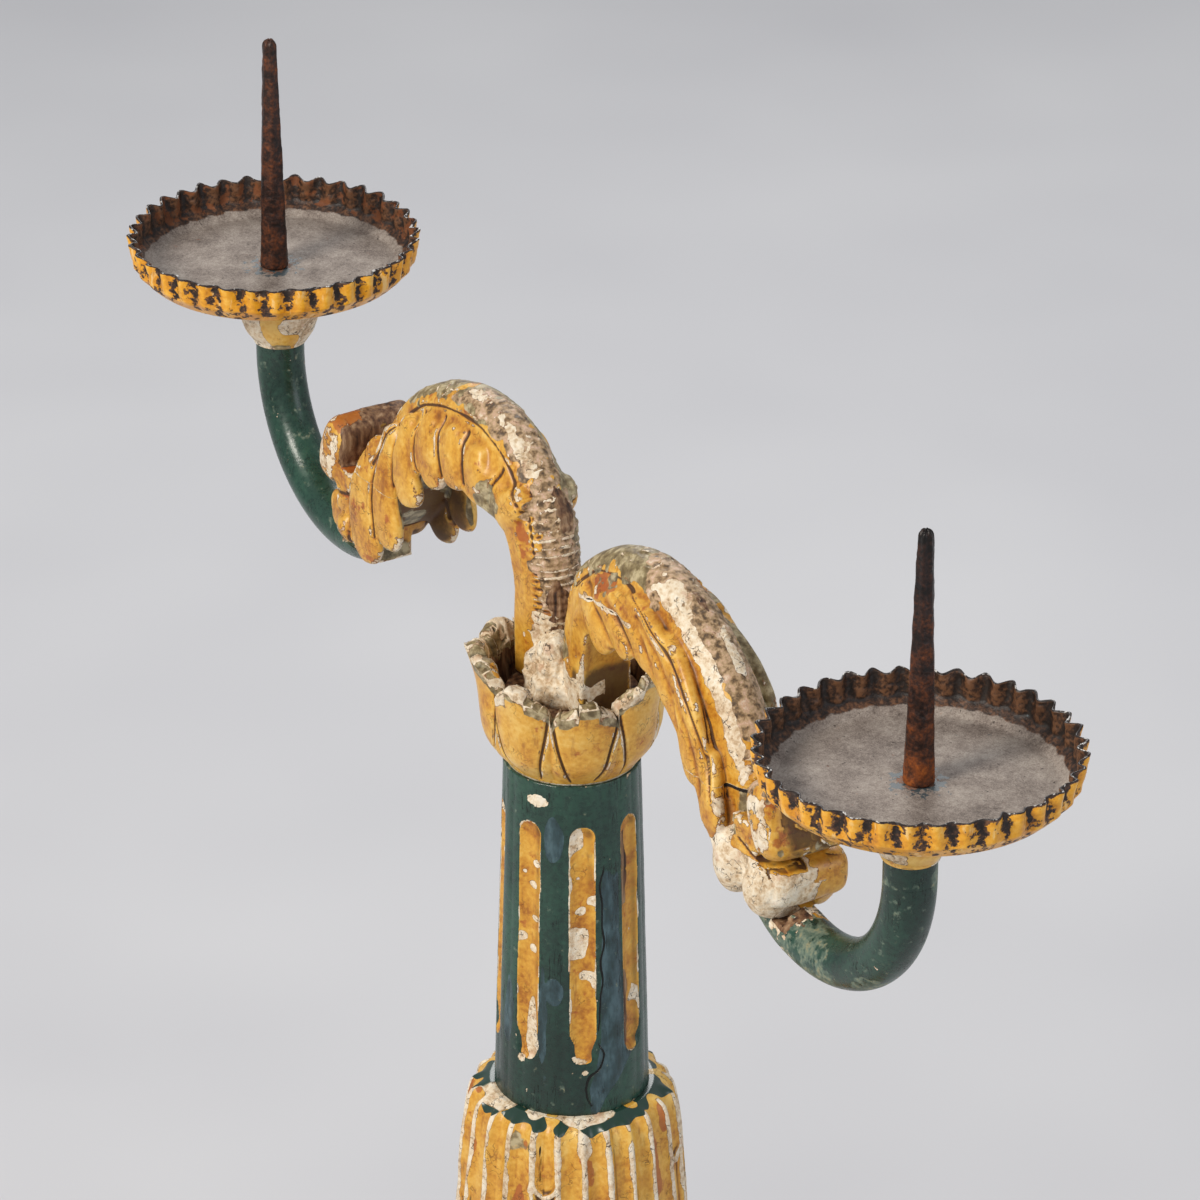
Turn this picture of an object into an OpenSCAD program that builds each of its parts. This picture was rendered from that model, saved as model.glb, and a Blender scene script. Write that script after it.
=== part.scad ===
// Two-light pricket candlestick in carved, turned, painted and gilded wood.
// The origin is on the floor under the column. +Z is up and +X points to the right arm.
// Each arm is drawn on the right, in heights measured from its own drip pan's rim,
// and the left one is a mirror image that sits a little higher.

/* [Pedestal] */
// Width of a bun foot
bun_w = 36; // [30:1:42]
// Height of a bun foot
bun_h = 22; // [18:1:28]
// Width of the flat that a bun foot stands on
bun_flat_w = 20; // [14:1:24]
// Width of a bun foot's peg
bun_peg_w = 12; // [8:1:16]
// Length of a bun foot's peg
bun_peg_h = 12; // [8:1:14]
// Distance from a bun foot's middle to the edge of the plinth base
bun_inset = 23; // [21:1:30]
// Width of the plinth base
base_w = 190; // [176:2:220]
// Height of the plinth base
base_h = 20; // [16:1:28]
// Height of the plain slab of the plinth base
base_slab_h = 9; // [6:1:12]
// Width of the plinth's dado
dado_w = 138; // [128:2:160]
// Height of the plinth's dado
dado_h = 44; // [34:1:70]
// Depth of the sunk panel on each side of the dado
panel_depth = 2; // [1:0.5:4]
// Width of the plain border round a sunk panel
panel_border = 9; // [6:1:14]
// Width of the plinth cap
cap_w = 160; // [150:2:180]
// Height of the plinth cap
cap_h = 14; // [12:1:20]
// Height of the plain slab of the plinth cap
cap_slab_h = 6; // [4:1:8]
// Width of the ledge between a moulding and the dado
ledge = 4; // [2:0.5:8]
// Width of the dowels between the dado and the plinth base
plinth_dowel_w = 10; // [6:1:14]
// Length of the dowels between the dado and the plinth base
plinth_dowel_h = 24; // [16:1:28]
// Distance between the two plinth dowels
plinth_dowel_gap = 70; // [50:2:90]

/* [Foot and spool] */
// Width of the turned foot where it stands on the plinth
foot_w = 126; // [110:2:140]
// Height of the turned foot
foot_h = 68; // [56:1:84]
// Width of the top of the turned foot
foot_top_w = 44; // [38:1:50]
// Width of the bead ring
bead_w = 54; // [48:1:60]
// Height of the bead ring
bead_h = 14; // [10:1:18]
// Width of the spool at its two ends
spool_w = 42; // [36:1:46]
// Width of the spool's waist
spool_waist_w = 26; // [24:1:30]
// Height of the spool
spool_h = 56; // [44:1:70]
// Width of the ring under the vase
neck_ring_w = 44; // [38:1:48]
// Height of the ring under the vase
neck_ring_h = 12; // [9:1:15]

/* [Vase] */
// Greatest width of the vase, over the carved leaves
vase_w = 79; // [70:1:90]
// Height of the vase
vase_h = 125; // [100:1:150]
// Count of upright leaves round the vase
leaf_count = 12; // [8:1:14]
// Depth of the hollows between the leaves
leaf_carve = 2.2; // [1:0.1:3]

/* [Column] */
// Width of the column under the flower cup
column_top_w = 45; // [42:1:48]
// Width of the column where it stands on the vase
column_bottom_w = 51.6; // [48:0.2:54]
// Height of the column between its two shoulders
column_h = 121.5; // [100:0.5:150]
// Count of flutes
flute_count = 8; // [6:1:9]
// Radius of the gouge that cuts a flute
flute_r = 8; // [7:0.5:10]
// Depth of a flute
flute_depth = 1.7; // [1:0.1:2.2]
// Distance from the column's lower shoulder to the flutes
flute_foot = 19; // [12:1:26]
// Distance from the flutes to the column's upper shoulder
flute_head = 14.5; // [10:0.5:20]

/* [Flower cup] */
// Width of the cup's foot
cup_foot_w = 43; // [40:1:45]
// Width of the cup's belly
cup_belly_w = 61; // [58:1:66]
// Width over the petal tips
cup_tip_w = 69; // [66:1:74]
// Height of the tallest petal tip above the column's shoulder
cup_h = 42; // [38:1:50]
// Depth of the notches between the petals
petal_notch = 9; // [5:1:12]
// Count of petals
petal_count = 8; // [6:1:10]
// Depth of the creases between the petals
petal_crease = 1.5; // [0.5:0.1:2]
// Thickness of the petals
cup_wall = 3.6; // [3:0.1:4.4]
// Thickness of the cup's floor
cup_floor = 4; // [3:0.5:6]
// Width of the block that holds the arms, at its top
block_w = 44; // [42:1:46]
// Width of the block that holds the arms, at its foot
block_foot_w = 34; // [30:1:37]
// Height of the block that holds the arms
block_h = 20; // [20:1:24]
// Width of the gesso packed round the arms' roots
gesso_w = 30; // [28:1:34]
// Height of the gesso packed round the arms' roots
gesso_h = 22; // [16:1:28]

/* [Scroll arms] */
// Distance from the column's axis to the far end of a carved scroll
scroll_reach = 130; // [122:1:136]
// Height of a scroll's middle line, from its lower end to its crest
scroll_h = 68.4; // [62:0.2:74]
// Distance from the pan's rim down to the lower end of a scroll's middle line
scroll_drop = 80; // [78:1:84]
// Height of the middle pan rim above the column's upper shoulder
rim_rise = 103.5; // [100:0.5:108]
// Height by which the left arm sits above the right one
arm_step = 15; // [0:1:20]
// Width of the rounded rib along the top of a scroll
rib_w = 18; // [15:0.5:19]
// Width of the acanthus leaf at the end of a scroll
leaf_w = 34; // [28:1:36]
// Greatest depth of the leaf below the rib's middle line
leaf_depth = 23; // [18:0.5:24]
// Depth of the notches between the leaf's lobes
lobe_notch = 5; // [2:0.5:6]
// Width of the peg under an arm's root
arm_peg_w = 10; // [8:0.5:11]
// Length of the peg under an arm's root
arm_peg_h = 11; // [8:0.5:11.5]
// Width of the nails through the arms' pegs
arm_nail_w = 2.6; // [2:0.1:3]
// Length of the nails through the arms' pegs
arm_nail_h = 15; // [12:0.5:16]

/* [Leaf tips] */
// Distance from the pan's rim down to the glued joint of the leaf tip
tip_joint_drop = 53; // [51:0.5:55]
// Length of the upright tongue of a leaf tip
tongue_h = 32; // [28:1:36]
// Thickness of the tongue of a leaf tip
tongue_w = 16; // [12:0.5:17]
// Lean of the tongue of a leaf tip, in degrees
tongue_lean = 26; // [20:1:30]
// Length of the lip under the tongue
lip_w = 30; // [26:1:32]
// Thickness of the lip under the tongue
lip_h = 17; // [12:0.5:18]
// Width of the dowel in the glued joint
tip_dowel_w = 5; // [3:0.5:6]
// Length of the dowel in the glued joint
tip_dowel_h = 16; // [10:1:18]
// Width of the heel that the stem is fixed to
heel_w = 13; // [10:0.5:14]
// Length of the heel that the stem is fixed to
heel_l = 18; // [14:0.5:20]

/* [Hooked stems] */
// Distance from the column's axis to a pan's axis
pan_reach = 197.5; // [194:0.5:204]
// Width of a stem
stem_w = 16.5; // [14:0.5:17]
// Distance that a stem and its collar stand inside the pan's axis
stem_inset = 3; // [0:0.5:3.5]
// Radius of a stem's bend, on its middle line
stem_bend_r = 47.5; // [45:0.5:50]
// Length of the straight top of a stem, mean of the two
stem_top_h = 6; // [4:0.5:10]
// Length that the right stem's straight top has more than the left one's
stem_step = 4; // [0:0.5:6]
// Height of the heel, from the scroll's lower end down to the flat that a stem's end has
heel_h = 10; // [9:0.5:12]
// Length of that flat
stem_flat_l = 26; // [24:0.5:30]
// Width of the nail that fixes a stem
stem_nail_w = 2.6; // [2:0.1:3]
// Height of the turned collar between stem and pan
collar_h = 24.8; // [20:0.2:28]
// Width of the collar under the pan
collar_top_w = 35; // [30:1:40]
// Width of the collar's foot
collar_foot_w = 18; // [17:0.5:20]

/* [Drip pans] */
// Width of a pan over its crimped rim
pan_w = 100; // [92:1:106]
// Width of a pan's floor
pan_floor_w = 87; // [80:1:90]
// Width of a pan where its wall bends in to the floor
pan_bend_w = 97; // [90:1:98]
// Height of that bend above the pan's underside
pan_bend_h = 5; // [3:0.5:8]
// Depth of a pan
pan_h = 14.5; // [12:0.5:18]
// Thickness of the sheet iron
sheet = 1; // [0.8:0.1:1.4]
// Count of crimps round a pan
crimp_count = 36; // [24:1:40]
// Depth of a crimp at the rim, to each side
crimp_depth = 1.1; // [0.5:0.1:1.5]

/* [Prickets] */
// Height of a pricket above the pan's floor
pricket_h = 83; // [60:1:100]
// Width of a pricket at the pan's floor
pricket_w = 9.6; // [8.6:0.1:11]
// Width of a pricket just below its rounded tip
pricket_tip_w = 4.6; // [3:0.1:6]
// Width of a pricket's tang
tang_w = 5.5; // [4.5:0.1:6]
// Depth that a tang reaches into the stem
tang_depth = 12; // [9:0.5:13]

/* [Fits] */
// Gap round a tenon, peg, dowel or nail in its hole
fit_gap = 0.2; // [0.1:0.05:0.3]
// Gap left at the bottom of a blind hole
end_gap = 0.5; // [0.3:0.1:1]
// Gap above, below and inside a drip pan, so that it turns
turn_gap = 0.3; // [0.2:0.05:0.5]

/* [Hidden] */

// One overrun serves every cut
cut = 2;
round_fn = 96;
curve_steps = 10;

// Heights of the stacked pieces, from the floor up
base_z = bun_h;
dado_z = base_z + base_h;
cap_z = dado_z + dado_h;
foot_z = cap_z + cap_h;
bead_z = foot_z + foot_h;
spool_z = bead_z + bead_h;
neck_ring_z = spool_z + spool_h;
vase_z = neck_ring_z + neck_ring_h;
column_z = vase_z + vase_h;
cup_z = column_z + column_h;
block_z = cup_z + cup_floor;
root_z = block_z + block_h;
rim_z = cup_z + rim_rise;

// Tenons that join the turned pieces: their width and how far each goes into the last piece
cup_tenon_w = 16;
cup_tenon_depth = 7;
vase_tenon_w = 22;
vase_tenon_depth = 22;
spool_tenon_w = 14;
spool_tenon_depth = 12;
foot_tenon_w = 16;
foot_tenon_depth = 16;
plinth_tenon_w = 30;
plinth_tenon_depth = 16;

// Profiles of the turned pieces, as shares of their half width and of their height
vase_shares = [[0.42, 0], [0.5, 0.07], [0.68, 0.18], [0.88, 0.32], [0.985, 0.46], [1, 0.56],
    [0.975, 0.68], [0.95, 0.8], [0.915, 0.9], [0.86, 0.97], [0.73, 1]];
vase_ring_shares = [0, 0.1, 0.2, 0.3, 0.4, 0.5, 0.64, 0.78, 0.9, 1];
foot_skirt_share = 0.16;
foot_neck_share = 0.1;
gesso_shares = [[1, 0], [0.97, 0.3], [0.86, 0.6], [0.66, 0.85], [0.4, 1]];
cup_side_shares = [0, 0.62, 0.86, 0.97, 1, 0.99];
collar_side_shares = [0, 0.3, 0.48, 0.64, 0.8, 0.93, 1];
crimp_low_share = 0.4;
flare_from_share = 0.55;
petal_edge_share = 0.7;
// Height of each petal tip and how far each leans out, as shares of the greatest
tip_height_shares = [0.93, 0.82, 0.96, 1, 0.9, 0.98, 0.86, 0.78];
tip_lean_shares = [0.9, 0.6, 0.9, 1, 0.9, 1, 0.6, 0.3];

// Middle line of a scroll's rib: distance from the axis as a share of the reach,
// and height above its lower end as a share of the scroll's height
rib_shares = [[0.092, 0.124], [0.092, 0.439], [0.131, 0.737], [0.256, 0.937], [0.417, 1],
    [0.575, 0.92], [0.712, 0.751], [0.809, 0.5], [0.885, 0.221], [1, 0]];
// Depth and half width of the leaf at those ten places, as shares of the greatest
leaf_depth_shares = [0.43, 0.48, 0.65, 1, 0.93, 0.85, 0.83, 0.63, 0.5, 0.42];
leaf_width_shares = [0.56, 0.58, 0.68, 0.8, 0.82, 0.84, 0.88, 0.92, 0.97, 1];
// Side of the leaf: share of its depth, and share of the spread from rib to full width
leaf_side_shares = [[0.14, -0.2], [0.5, 0.6], [0.9, 1], [1, 0.7]];
leaf_hollow_share = 0.12;
first_lobe = 2;
rings_per_lobe = 4;
rib_steps = 6;

// Places on the leaf tip, as shares of the scroll's reach and height above its lower end
tongue_mid_shares = [1.003, 0.385];
lip_mid_shares = [0.965, 0.05];
web_shares = [[0.905, 0.1], [1.01, 0.33]];
heel_mid_share = 0.955;
tip_dowel_share = 0.82;
tip_edge_share = 0.18;
pillow_steps = 16;
nail_low_share = 0.15;
nail_high_share = 0.7;
root_x = scroll_reach * rib_shares[0][0];
heel_x = scroll_reach * heel_mid_share;
stem_flat_z = -scroll_drop - heel_h;
stem_reach = pan_reach - stem_inset;

// Share of the bend's radius that a stem's bend goes on for past its lowest point. A stem that
// has further to go has a straight run there.
stem_rise_share = 0.76;

// Point on the smooth curve through a list, for u from 0 to 1
function spline(p, u) =
    let (n = len(p) - 1, k = min(floor(u * n), n - 1), t = u * n - k,
         a = p[max(k - 1, 0)], b = p[k], c = p[k + 1], d = p[min(k + 2, n)])
    b + t * ((c - a) / 2 + t * (a - 2.5 * b + 2 * c - d / 2
        + t * (1.5 * (b - c) + (d - a) / 2)));

// Points of an arc about a centre, between two angles
function arc(centre, r, from, to) =
    [for (i = [0:curve_steps]) let (a = from + (to - from) * i / curve_steps)
        centre + r * [cos(a), sin(a)]];

// Height of an arm's own pan rim: side is 1 on the right and -1 on the left
function own_rim_z(side) = rim_z - side * arm_step / 2;

// Closed solid through rings of points, each ring running anticlockwise seen from the last one
module skin(rings) {
    n = len(rings[0]);
    last = len(rings) - 1;
    walls = [for (k = [0:last - 1], j = [0:n - 1]) let (m = (j + 1) % n)
        each [[k * n + j, (k + 1) * n + j, (k + 1) * n + m], [k * n + j, (k + 1) * n + m, k * n + m]]];
    ends = [[for (j = [0:n - 1]) j], [for (j = [n - 1:-1:0]) last * n + j]];
    polyhedron([for (ring = rings) each ring], concat(walls, ends), convexity = 8);
}

// Turned solid under a profile of radius and height
module turned(profile) {
    rotate_extrude($fn = round_fn)
        polygon(concat([[0, profile[0][1]]], profile, [[0, profile[len(profile) - 1][1]]]));
}

// Upright round hole or peg from one height to another
module rod(w, from, to) {
    translate([0, 0, from])
        cylinder(d = w, h = to - from, $fn = round_fn);
}

// Places a right arm's piece, or its mirror image on the left, at its own pan's rim
module on_arm(side) {
    translate([0, 0, own_rim_z(side)])
        mirror([side < 0 ? 1 : 0, 0, 0])
            children();
}

// Pedestal

module bun_foot(x_side, y_side) {
    overhang = (bun_w - bun_flat_w) / 2;
    bulge_r = (bun_h * bun_h / 4 + overhang * overhang) / overhang / 2;
    bulge_angle = asin(bun_h / 2 / bulge_r);
    place = base_w / 2 - bun_inset;
    color("goldenrod")
        translate([x_side * place, y_side * place, 0]) {
            turned(arc([bun_w / 2 - bulge_r, bun_h / 2], bulge_r, -bulge_angle, bulge_angle));
            rod(bun_peg_w, bun_h / 2, bun_h + bun_peg_h);
        }
}

// Square block whose four sides follow one hollow moulding above a plain slab
module square_moulding(outer_w, inner_w, slab_h, h) {
    hollow = [for (p = arc([1, 1], 1, 270, 180))
        [inner_w / 2 + (outer_w - inner_w) / 2 * p[0], slab_h + (h - slab_h) * p[1]]];
    half = concat([[outer_w / 2, 0]], hollow);
    outline = concat(half, [for (i = [len(half) - 1:-1:0]) [-half[i][0], half[i][1]]]);
    intersection_for (turn = [0, 90])
        rotate([90, 0, turn])
            linear_extrude(outer_w + cut, center = true)
                polygon(outline);
}

module plinth_base() {
    place = base_w / 2 - bun_inset;
    color("darkgreen")
        difference() {
            translate([0, 0, base_z])
                square_moulding(base_w, dado_w + 2 * ledge, base_slab_h, base_h);
            for (x = [-place, place], y = [-place, place])
                translate([x, y, 0])
                    rod(bun_peg_w + 2 * fit_gap, base_z - cut, base_z + bun_peg_h + end_gap);
            plinth_dowel_holes();
        }
}

module plinth_dowels() {
    color("burlywood")
        for (x = [-1, 1])
            translate([x * plinth_dowel_gap / 2, 0, dado_z])
                rod(plinth_dowel_w, -plinth_dowel_h / 2, plinth_dowel_h / 2);
}

module plinth_dowel_holes() {
    half_h = plinth_dowel_h / 2 + end_gap;
    for (x = [-1, 1])
        translate([x * plinth_dowel_gap / 2, 0, dado_z])
            rod(plinth_dowel_w + 2 * fit_gap, -half_h, half_h);
}

module dado() {
    panel_w = dado_w - 2 * panel_border;
    panel_h = dado_h - 2 * panel_border;
    color("darkgreen")
        difference() {
            translate([-dado_w / 2, -dado_w / 2, dado_z])
                cube([dado_w, dado_w, dado_h]);
            for (turn = [0:90:270])
                rotate([0, 0, turn])
                    translate([dado_w / 2 - panel_depth, -panel_w / 2, dado_z + panel_border])
                        cube([panel_depth + cut, panel_w, panel_h]);
            plinth_dowel_holes();
            rod(plinth_tenon_w + 2 * fit_gap, cap_z - plinth_tenon_depth - end_gap, cap_z + cut);
        }
}

module plinth_cap() {
    color("goldenrod")
        difference() {
            translate([0, 0, foot_z])
                mirror([0, 0, 1])
                    square_moulding(cap_w, dado_w + 2 * ledge, cap_slab_h, cap_h);
            rod(plinth_tenon_w + 2 * fit_gap, cap_z - cut, foot_z + cut);
        }
}

// Foot, rings and spool

module turned_foot() {
    skirt_r = foot_h * foot_skirt_share / 2;
    neck_z = foot_h * (1 - foot_neck_share);
    spread = foot_w / 2 - skirt_r - foot_top_w / 2;
    skirt = arc([foot_w / 2 - skirt_r, skirt_r], skirt_r, -90, 90);
    hollow = [for (p = arc([1, 1], 1, 270, 180))
        [foot_top_w / 2 + spread * p[0], 2 * skirt_r + (neck_z - 2 * skirt_r) * p[1]]];
    color("darkgreen")
        difference() {
            union() {
                translate([0, 0, foot_z])
                    turned(concat(skirt, hollow, [[foot_top_w / 2, foot_h]]));
                rod(plinth_tenon_w, cap_z - plinth_tenon_depth, foot_z + foot_h / 2);
            }
            rod(foot_tenon_w + 2 * fit_gap, bead_z - foot_tenon_depth - end_gap, bead_z + cut);
        }
}

// Ring with a rounded rim, threaded on a tenon
module ring(w, h, from, bore_w) {
    color("goldenrod")
        difference() {
            translate([0, 0, from])
                turned(arc([w / 2 - h / 2, h / 2], h / 2, -90, 90));
            rod(bore_w + 2 * fit_gap, from - cut, from + h + cut);
        }
}

module bead_ring() {
    ring(bead_w, bead_h, bead_z, foot_tenon_w);
}

module neck_ring() {
    ring(neck_ring_w, neck_ring_h, neck_ring_z, spool_tenon_w);
}

module spool() {
    sink = (spool_w - spool_waist_w) / 2;
    waist_r = (spool_h * spool_h / 4 + sink * sink) / sink / 2;
    waist_angle = asin(spool_h / 2 / waist_r);
    color("darkgreen")
        difference() {
            union() {
                translate([0, 0, spool_z])
                    turned(arc([spool_waist_w / 2 + waist_r, spool_h / 2], waist_r,
                        180 + waist_angle, 180 - waist_angle));
                rod(foot_tenon_w, bead_z - foot_tenon_depth, spool_z + spool_h / 2);
            }
            rod(spool_tenon_w + 2 * fit_gap, neck_ring_z - spool_tenon_depth - end_gap,
                neck_ring_z + cut);
        }
}

// Vase and column

module vase() {
    steps = leaf_count * 8;
    color("goldenrod")
        difference() {
            union() {
                translate([0, 0, vase_z])
                    skin([for (u = vase_ring_shares) let (p = spline(vase_shares, u))
                        [for (j = [0:steps - 1]) let (a = 360 * j / steps, fade = sin(180 * u),
                            r = vase_w / 2 * p[0] - leaf_carve * fade * abs(sin(leaf_count * a)))
                            [r * cos(a), r * sin(a), vase_h * p[1]]]]);
                rod(spool_tenon_w, neck_ring_z - spool_tenon_depth, vase_z + vase_h / 2);
            }
            rod(vase_tenon_w + 2 * fit_gap, column_z - vase_tenon_depth - end_gap, column_z + cut);
        }
}

module column() {
    half_w = sqrt(flute_r * flute_r - pow(flute_r - flute_depth, 2));
    lean = atan((column_bottom_w - column_top_w) / 2 / column_h);
    color("darkgreen")
        difference() {
            union() {
                translate([0, 0, column_z])
                    cylinder(d1 = column_bottom_w, d2 = column_top_w, h = column_h, $fn = round_fn);
                rod(vase_tenon_w, column_z - vase_tenon_depth, column_z + column_h / 2);
                rod(cup_tenon_w, cup_z - column_h / 2, block_z + cup_tenon_depth);
            }
            for (i = [0:flute_count - 1])
                rotate([0, 0, 360 * (i + 1 / 2) / flute_count])
                    translate([column_bottom_w / 2, 0, column_z])
                        rotate([0, -lean, 0])
                            translate([flute_r - flute_depth, 0, 0])
                                flute_cutter(flute_foot + half_w, column_h - flute_head - half_w);
        }
}

module flute_cutter(from, to) {
    translate([0, 0, from])
        cylinder(r = flute_r, h = to - from, $fn = round_fn);
    for (z = [from, to])
        translate([0, 0, z])
            sphere(r = flute_r, $fn = round_fn);
}

// Flower cup and what it holds

// How far up its own petal an angle lies: 1 at the middle of a petal, 0 at a notch
function petal_rise(a) = pow(abs(sin(petal_count * a / 2)), 0.6);

// Share for the petal that an angle belongs to
function petal_share(shares, a) = shares[floor(petal_count * a / 360) % len(shares)];

function rim_height(a) = cup_h * petal_share(tip_height_shares, a) - petal_notch * (1 - petal_rise(a));

// Radius of the cup's outside at an angle and a height above its foot
function cup_r(a, z) =
    let (u = min(1, z / cup_h), own_u = u / petal_share(tip_height_shares, a),
         flare = max(0, own_u - flare_from_share) / (1 - flare_from_share))
    cup_foot_w / 2 + (cup_belly_w - cup_foot_w) / 2 * spline(cup_side_shares, u)
        + (cup_tip_w - cup_belly_w) / 2 * flare * flare * petal_share(tip_lean_shares, a)
        - petal_crease * u * (1 - petal_rise(a));

module flower_cup() {
    steps = petal_count * 6;
    outside = [for (u = [0:5])
        [for (j = [0:steps - 1]) let (a = 360 * (j + 1 / 2) / steps, z = rim_height(a) * u / 5)
            cup_r(a, z) * [cos(a), sin(a), 0] + [0, 0, z]]];
    inside = [for (u = [3:-1:0])
        [for (j = [0:steps - 1]) let (a = 360 * (j + 1 / 2) / steps,
            z = cup_floor + (rim_height(a) - cup_floor) * u / 3,
            wall = cup_wall * (u == 3 ? petal_edge_share : 1))
            (cup_r(a, z) - wall) * [cos(a), sin(a), 0] + [0, 0, z]]];
    color("goldenrod")
        difference() {
            translate([0, 0, cup_z])
                skin(concat(outside, inside));
            rod(cup_tenon_w + 2 * fit_gap, cup_z - cut, block_z + cut);
        }
}

// Lays a rod from one distance along +X to another, at the height of the arms' nails
module nail_line(w, from, to) {
    translate([0, 0, root_z - arm_peg_h / 2])
        rotate([0, 90, 0])
            rod(w, from, to);
}

module arm_block() {
    side = [for (p = arc([0, 0], 1, 0, 90))
        [block_foot_w / 2 + (block_w - block_foot_w) / 2 * p[1], block_h * (1 - p[0])]];
    color("saddlebrown")
        difference() {
            translate([0, 0, block_z])
                turned(side);
            rod(cup_tenon_w + 2 * fit_gap, block_z - cut, block_z + cup_tenon_depth + end_gap);
            for (turn = [0, 180])
                rotate([0, 0, turn]) {
                    translate([root_x, 0, 0])
                        rod(arm_peg_w + 2 * fit_gap, root_z - arm_peg_h - end_gap, root_z + cut);
                    nail_line(arm_nail_w + 2 * fit_gap, root_x, block_w / 2 + cut);
                }
        }
}

module arm_nails() {
    from = root_x - arm_peg_w / 2 + end_gap;
    color("sienna")
        for (turn = [0, 180])
            rotate([0, 0, turn])
                nail_line(arm_nail_w, from, from + arm_nail_h);
}

module gesso_packing() {
    band_y = leaf_w / 2 * leaf_width_shares[0] + fit_gap;
    color("antiquewhite")
        difference() {
            translate([0, 0, root_z])
                turned([for (p = gesso_shares) [gesso_w / 2 * p[0], gesso_h * p[1]]]);
            for (turn = [0, 180])
                rotate([0, 0, turn]) {
                    translate([root_x, 0, 0])
                        rod(rib_w + 2 * fit_gap, root_z - cut, root_z + gesso_h + cut);
                    translate([root_x, -band_y, root_z - cut])
                        cube([gesso_w, 2 * band_y, gesso_h + 2 * cut]);
                }
        }
}

// Scroll arms

// Middle line of the rib, as distance from the axis and height from the arm's own pan rim
function rib_point(u) = let (p = spline(rib_shares, u)) [scroll_reach * p[0], scroll_h * p[1] - scroll_drop];

// Unit direction of travel along the rib, from the root to the tip
function rib_heading(u) =
    let (step = 1 / 200, d = rib_point(min(1, u + step)) - rib_point(max(0, u - step)))
    d / norm(d);

// Depth lost to the notches between the lobes, at a share of the way along the rib
function lobe_loss(u) =
    let (phase = u * (len(rib_shares) - 1), off = 2 * (phase - round(phase)))
    phase < first_lobe - 0.6 ? 0 : lobe_notch * (1 - sqrt(max(0, 1 - off * off)));

// Cross-section of an arm: points as distance to the side and distance out from the rib's line
function arm_section(u) =
    let (rib_r = rib_w / 2,
         half_w = leaf_w / 2 * spline(leaf_width_shares, u),
         depth = leaf_depth * spline(leaf_depth_shares, u) - lobe_loss(u),
         side = [for (q = leaf_side_shares) [rib_r + (half_w - rib_r) * q[1], -depth * q[0]]])
    concat([for (i = [0:rib_steps]) let (a = 180 * i / rib_steps) rib_r * [cos(a), sin(a)]],
        [for (q = side) [-q[0], q[1]]],
        [[0, -depth * (1 - leaf_hollow_share)]],
        [for (i = [len(side) - 1:-1:0]) side[i]]);

// The section at one place along the rib, set square to the rib's heading
function arm_ring(u, drop = 0) =
    let (p = rib_point(u) - [0, drop], t = rib_heading(u))
    [for (q = arm_section(u)) [p[0] - t[1] * q[1], q[0], p[1] + t[0] * q[1]]];

// The whole carved scroll, with its root run on downwards, before its two joints are cut
module carved_scroll() {
    steps = rings_per_lobe * (len(rib_shares) - 1);
    skin(concat([arm_ring(0, scroll_h)], [for (i = [0:steps]) arm_ring(i / steps)]));
}

// Everything on the leaf tip's side of the glued joint
module beyond_joint() {
    from_x = scroll_reach / 2;
    translate([from_x, -leaf_w, -tip_joint_drop - scroll_h])
        cube([scroll_reach, 2 * leaf_w, scroll_h]);
}

module tip_dowel(gap = 0, past = 0) {
    half_h = tip_dowel_h / 2 + past;
    translate([scroll_reach * tip_dowel_share, 0, -tip_joint_drop])
        rod(tip_dowel_w + 2 * gap, -half_h, half_h);
}

module scroll_arm(side) {
    color("orange")
        difference() {
            union() {
                difference() {
                    on_arm(side)
                        difference() {
                            carved_scroll();
                            beyond_joint();
                        }
                    translate([-scroll_reach, -leaf_w, root_z - scroll_reach])
                        cube([2 * scroll_reach, 2 * leaf_w, scroll_reach]);
                }
                translate([side * root_x, 0, 0])
                    rod(arm_peg_w, root_z - arm_peg_h, root_z + arm_peg_h);
            }
            on_arm(side)
                tip_dowel(fit_gap, end_gap);
            rotate([0, 0, side < 0 ? 180 : 0])
                nail_line(arm_nail_w + 2 * fit_gap, 0, root_x + arm_peg_w);
        }
}

module tip_dowels() {
    color("burlywood")
        for (side = [-1, 1])
            on_arm(side)
                tip_dowel();
}

// Leaf tips

// Rounded oval bar across the leaf, leaning from the upright by an angle
module oval_bar(mid_shares, long_w, thick_w, lean) {
    edge = leaf_w * tip_edge_share;
    layers = [[-leaf_w / 2, 1 - tip_edge_share], [edge - leaf_w / 2, 1],
        [leaf_w / 2 - edge, 1], [leaf_w / 2, 1 - tip_edge_share]];
    translate([scroll_reach * mid_shares[0], 0, scroll_h * mid_shares[1] - scroll_drop])
        rotate([0, lean, 0])
            skin([for (layer = layers)
                [for (j = [0:pillow_steps - 1]) let (a = -360 * j / pillow_steps)
                    [thick_w / 2 * layer[1] * cos(a), layer[0], long_w / 2 * layer[1] * sin(a)]]]);
}

module leaf_tip(side) {
    web_w = leaf_w * (1 - tip_edge_share);
    web_from = [scroll_reach * web_shares[0][0], scroll_h * web_shares[0][1] - scroll_drop];
    web_to = [scroll_reach * web_shares[1][0], scroll_h * web_shares[1][1] - scroll_drop];
    color("orange")
        on_arm(side)
            difference() {
                union() {
                    intersection() {
                        carved_scroll();
                        beyond_joint();
                    }
                    oval_bar(tongue_mid_shares, tongue_h, tongue_w, -tongue_lean);
                    oval_bar(lip_mid_shares, lip_h, lip_w, 0);
                    translate([web_from[0], -web_w / 2, web_from[1]])
                        cube([web_to[0] - web_from[0], web_w, web_to[1] - web_from[1]]);
                    translate([heel_x - heel_l / 2, -heel_w / 2, stem_flat_z])
                        cube([heel_l, heel_w, heel_h + lip_h / 2]);
                }
                tip_dowel(fit_gap, end_gap);
                stem_nail(fit_gap, end_gap);
            }
}

// Hooked stems

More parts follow.
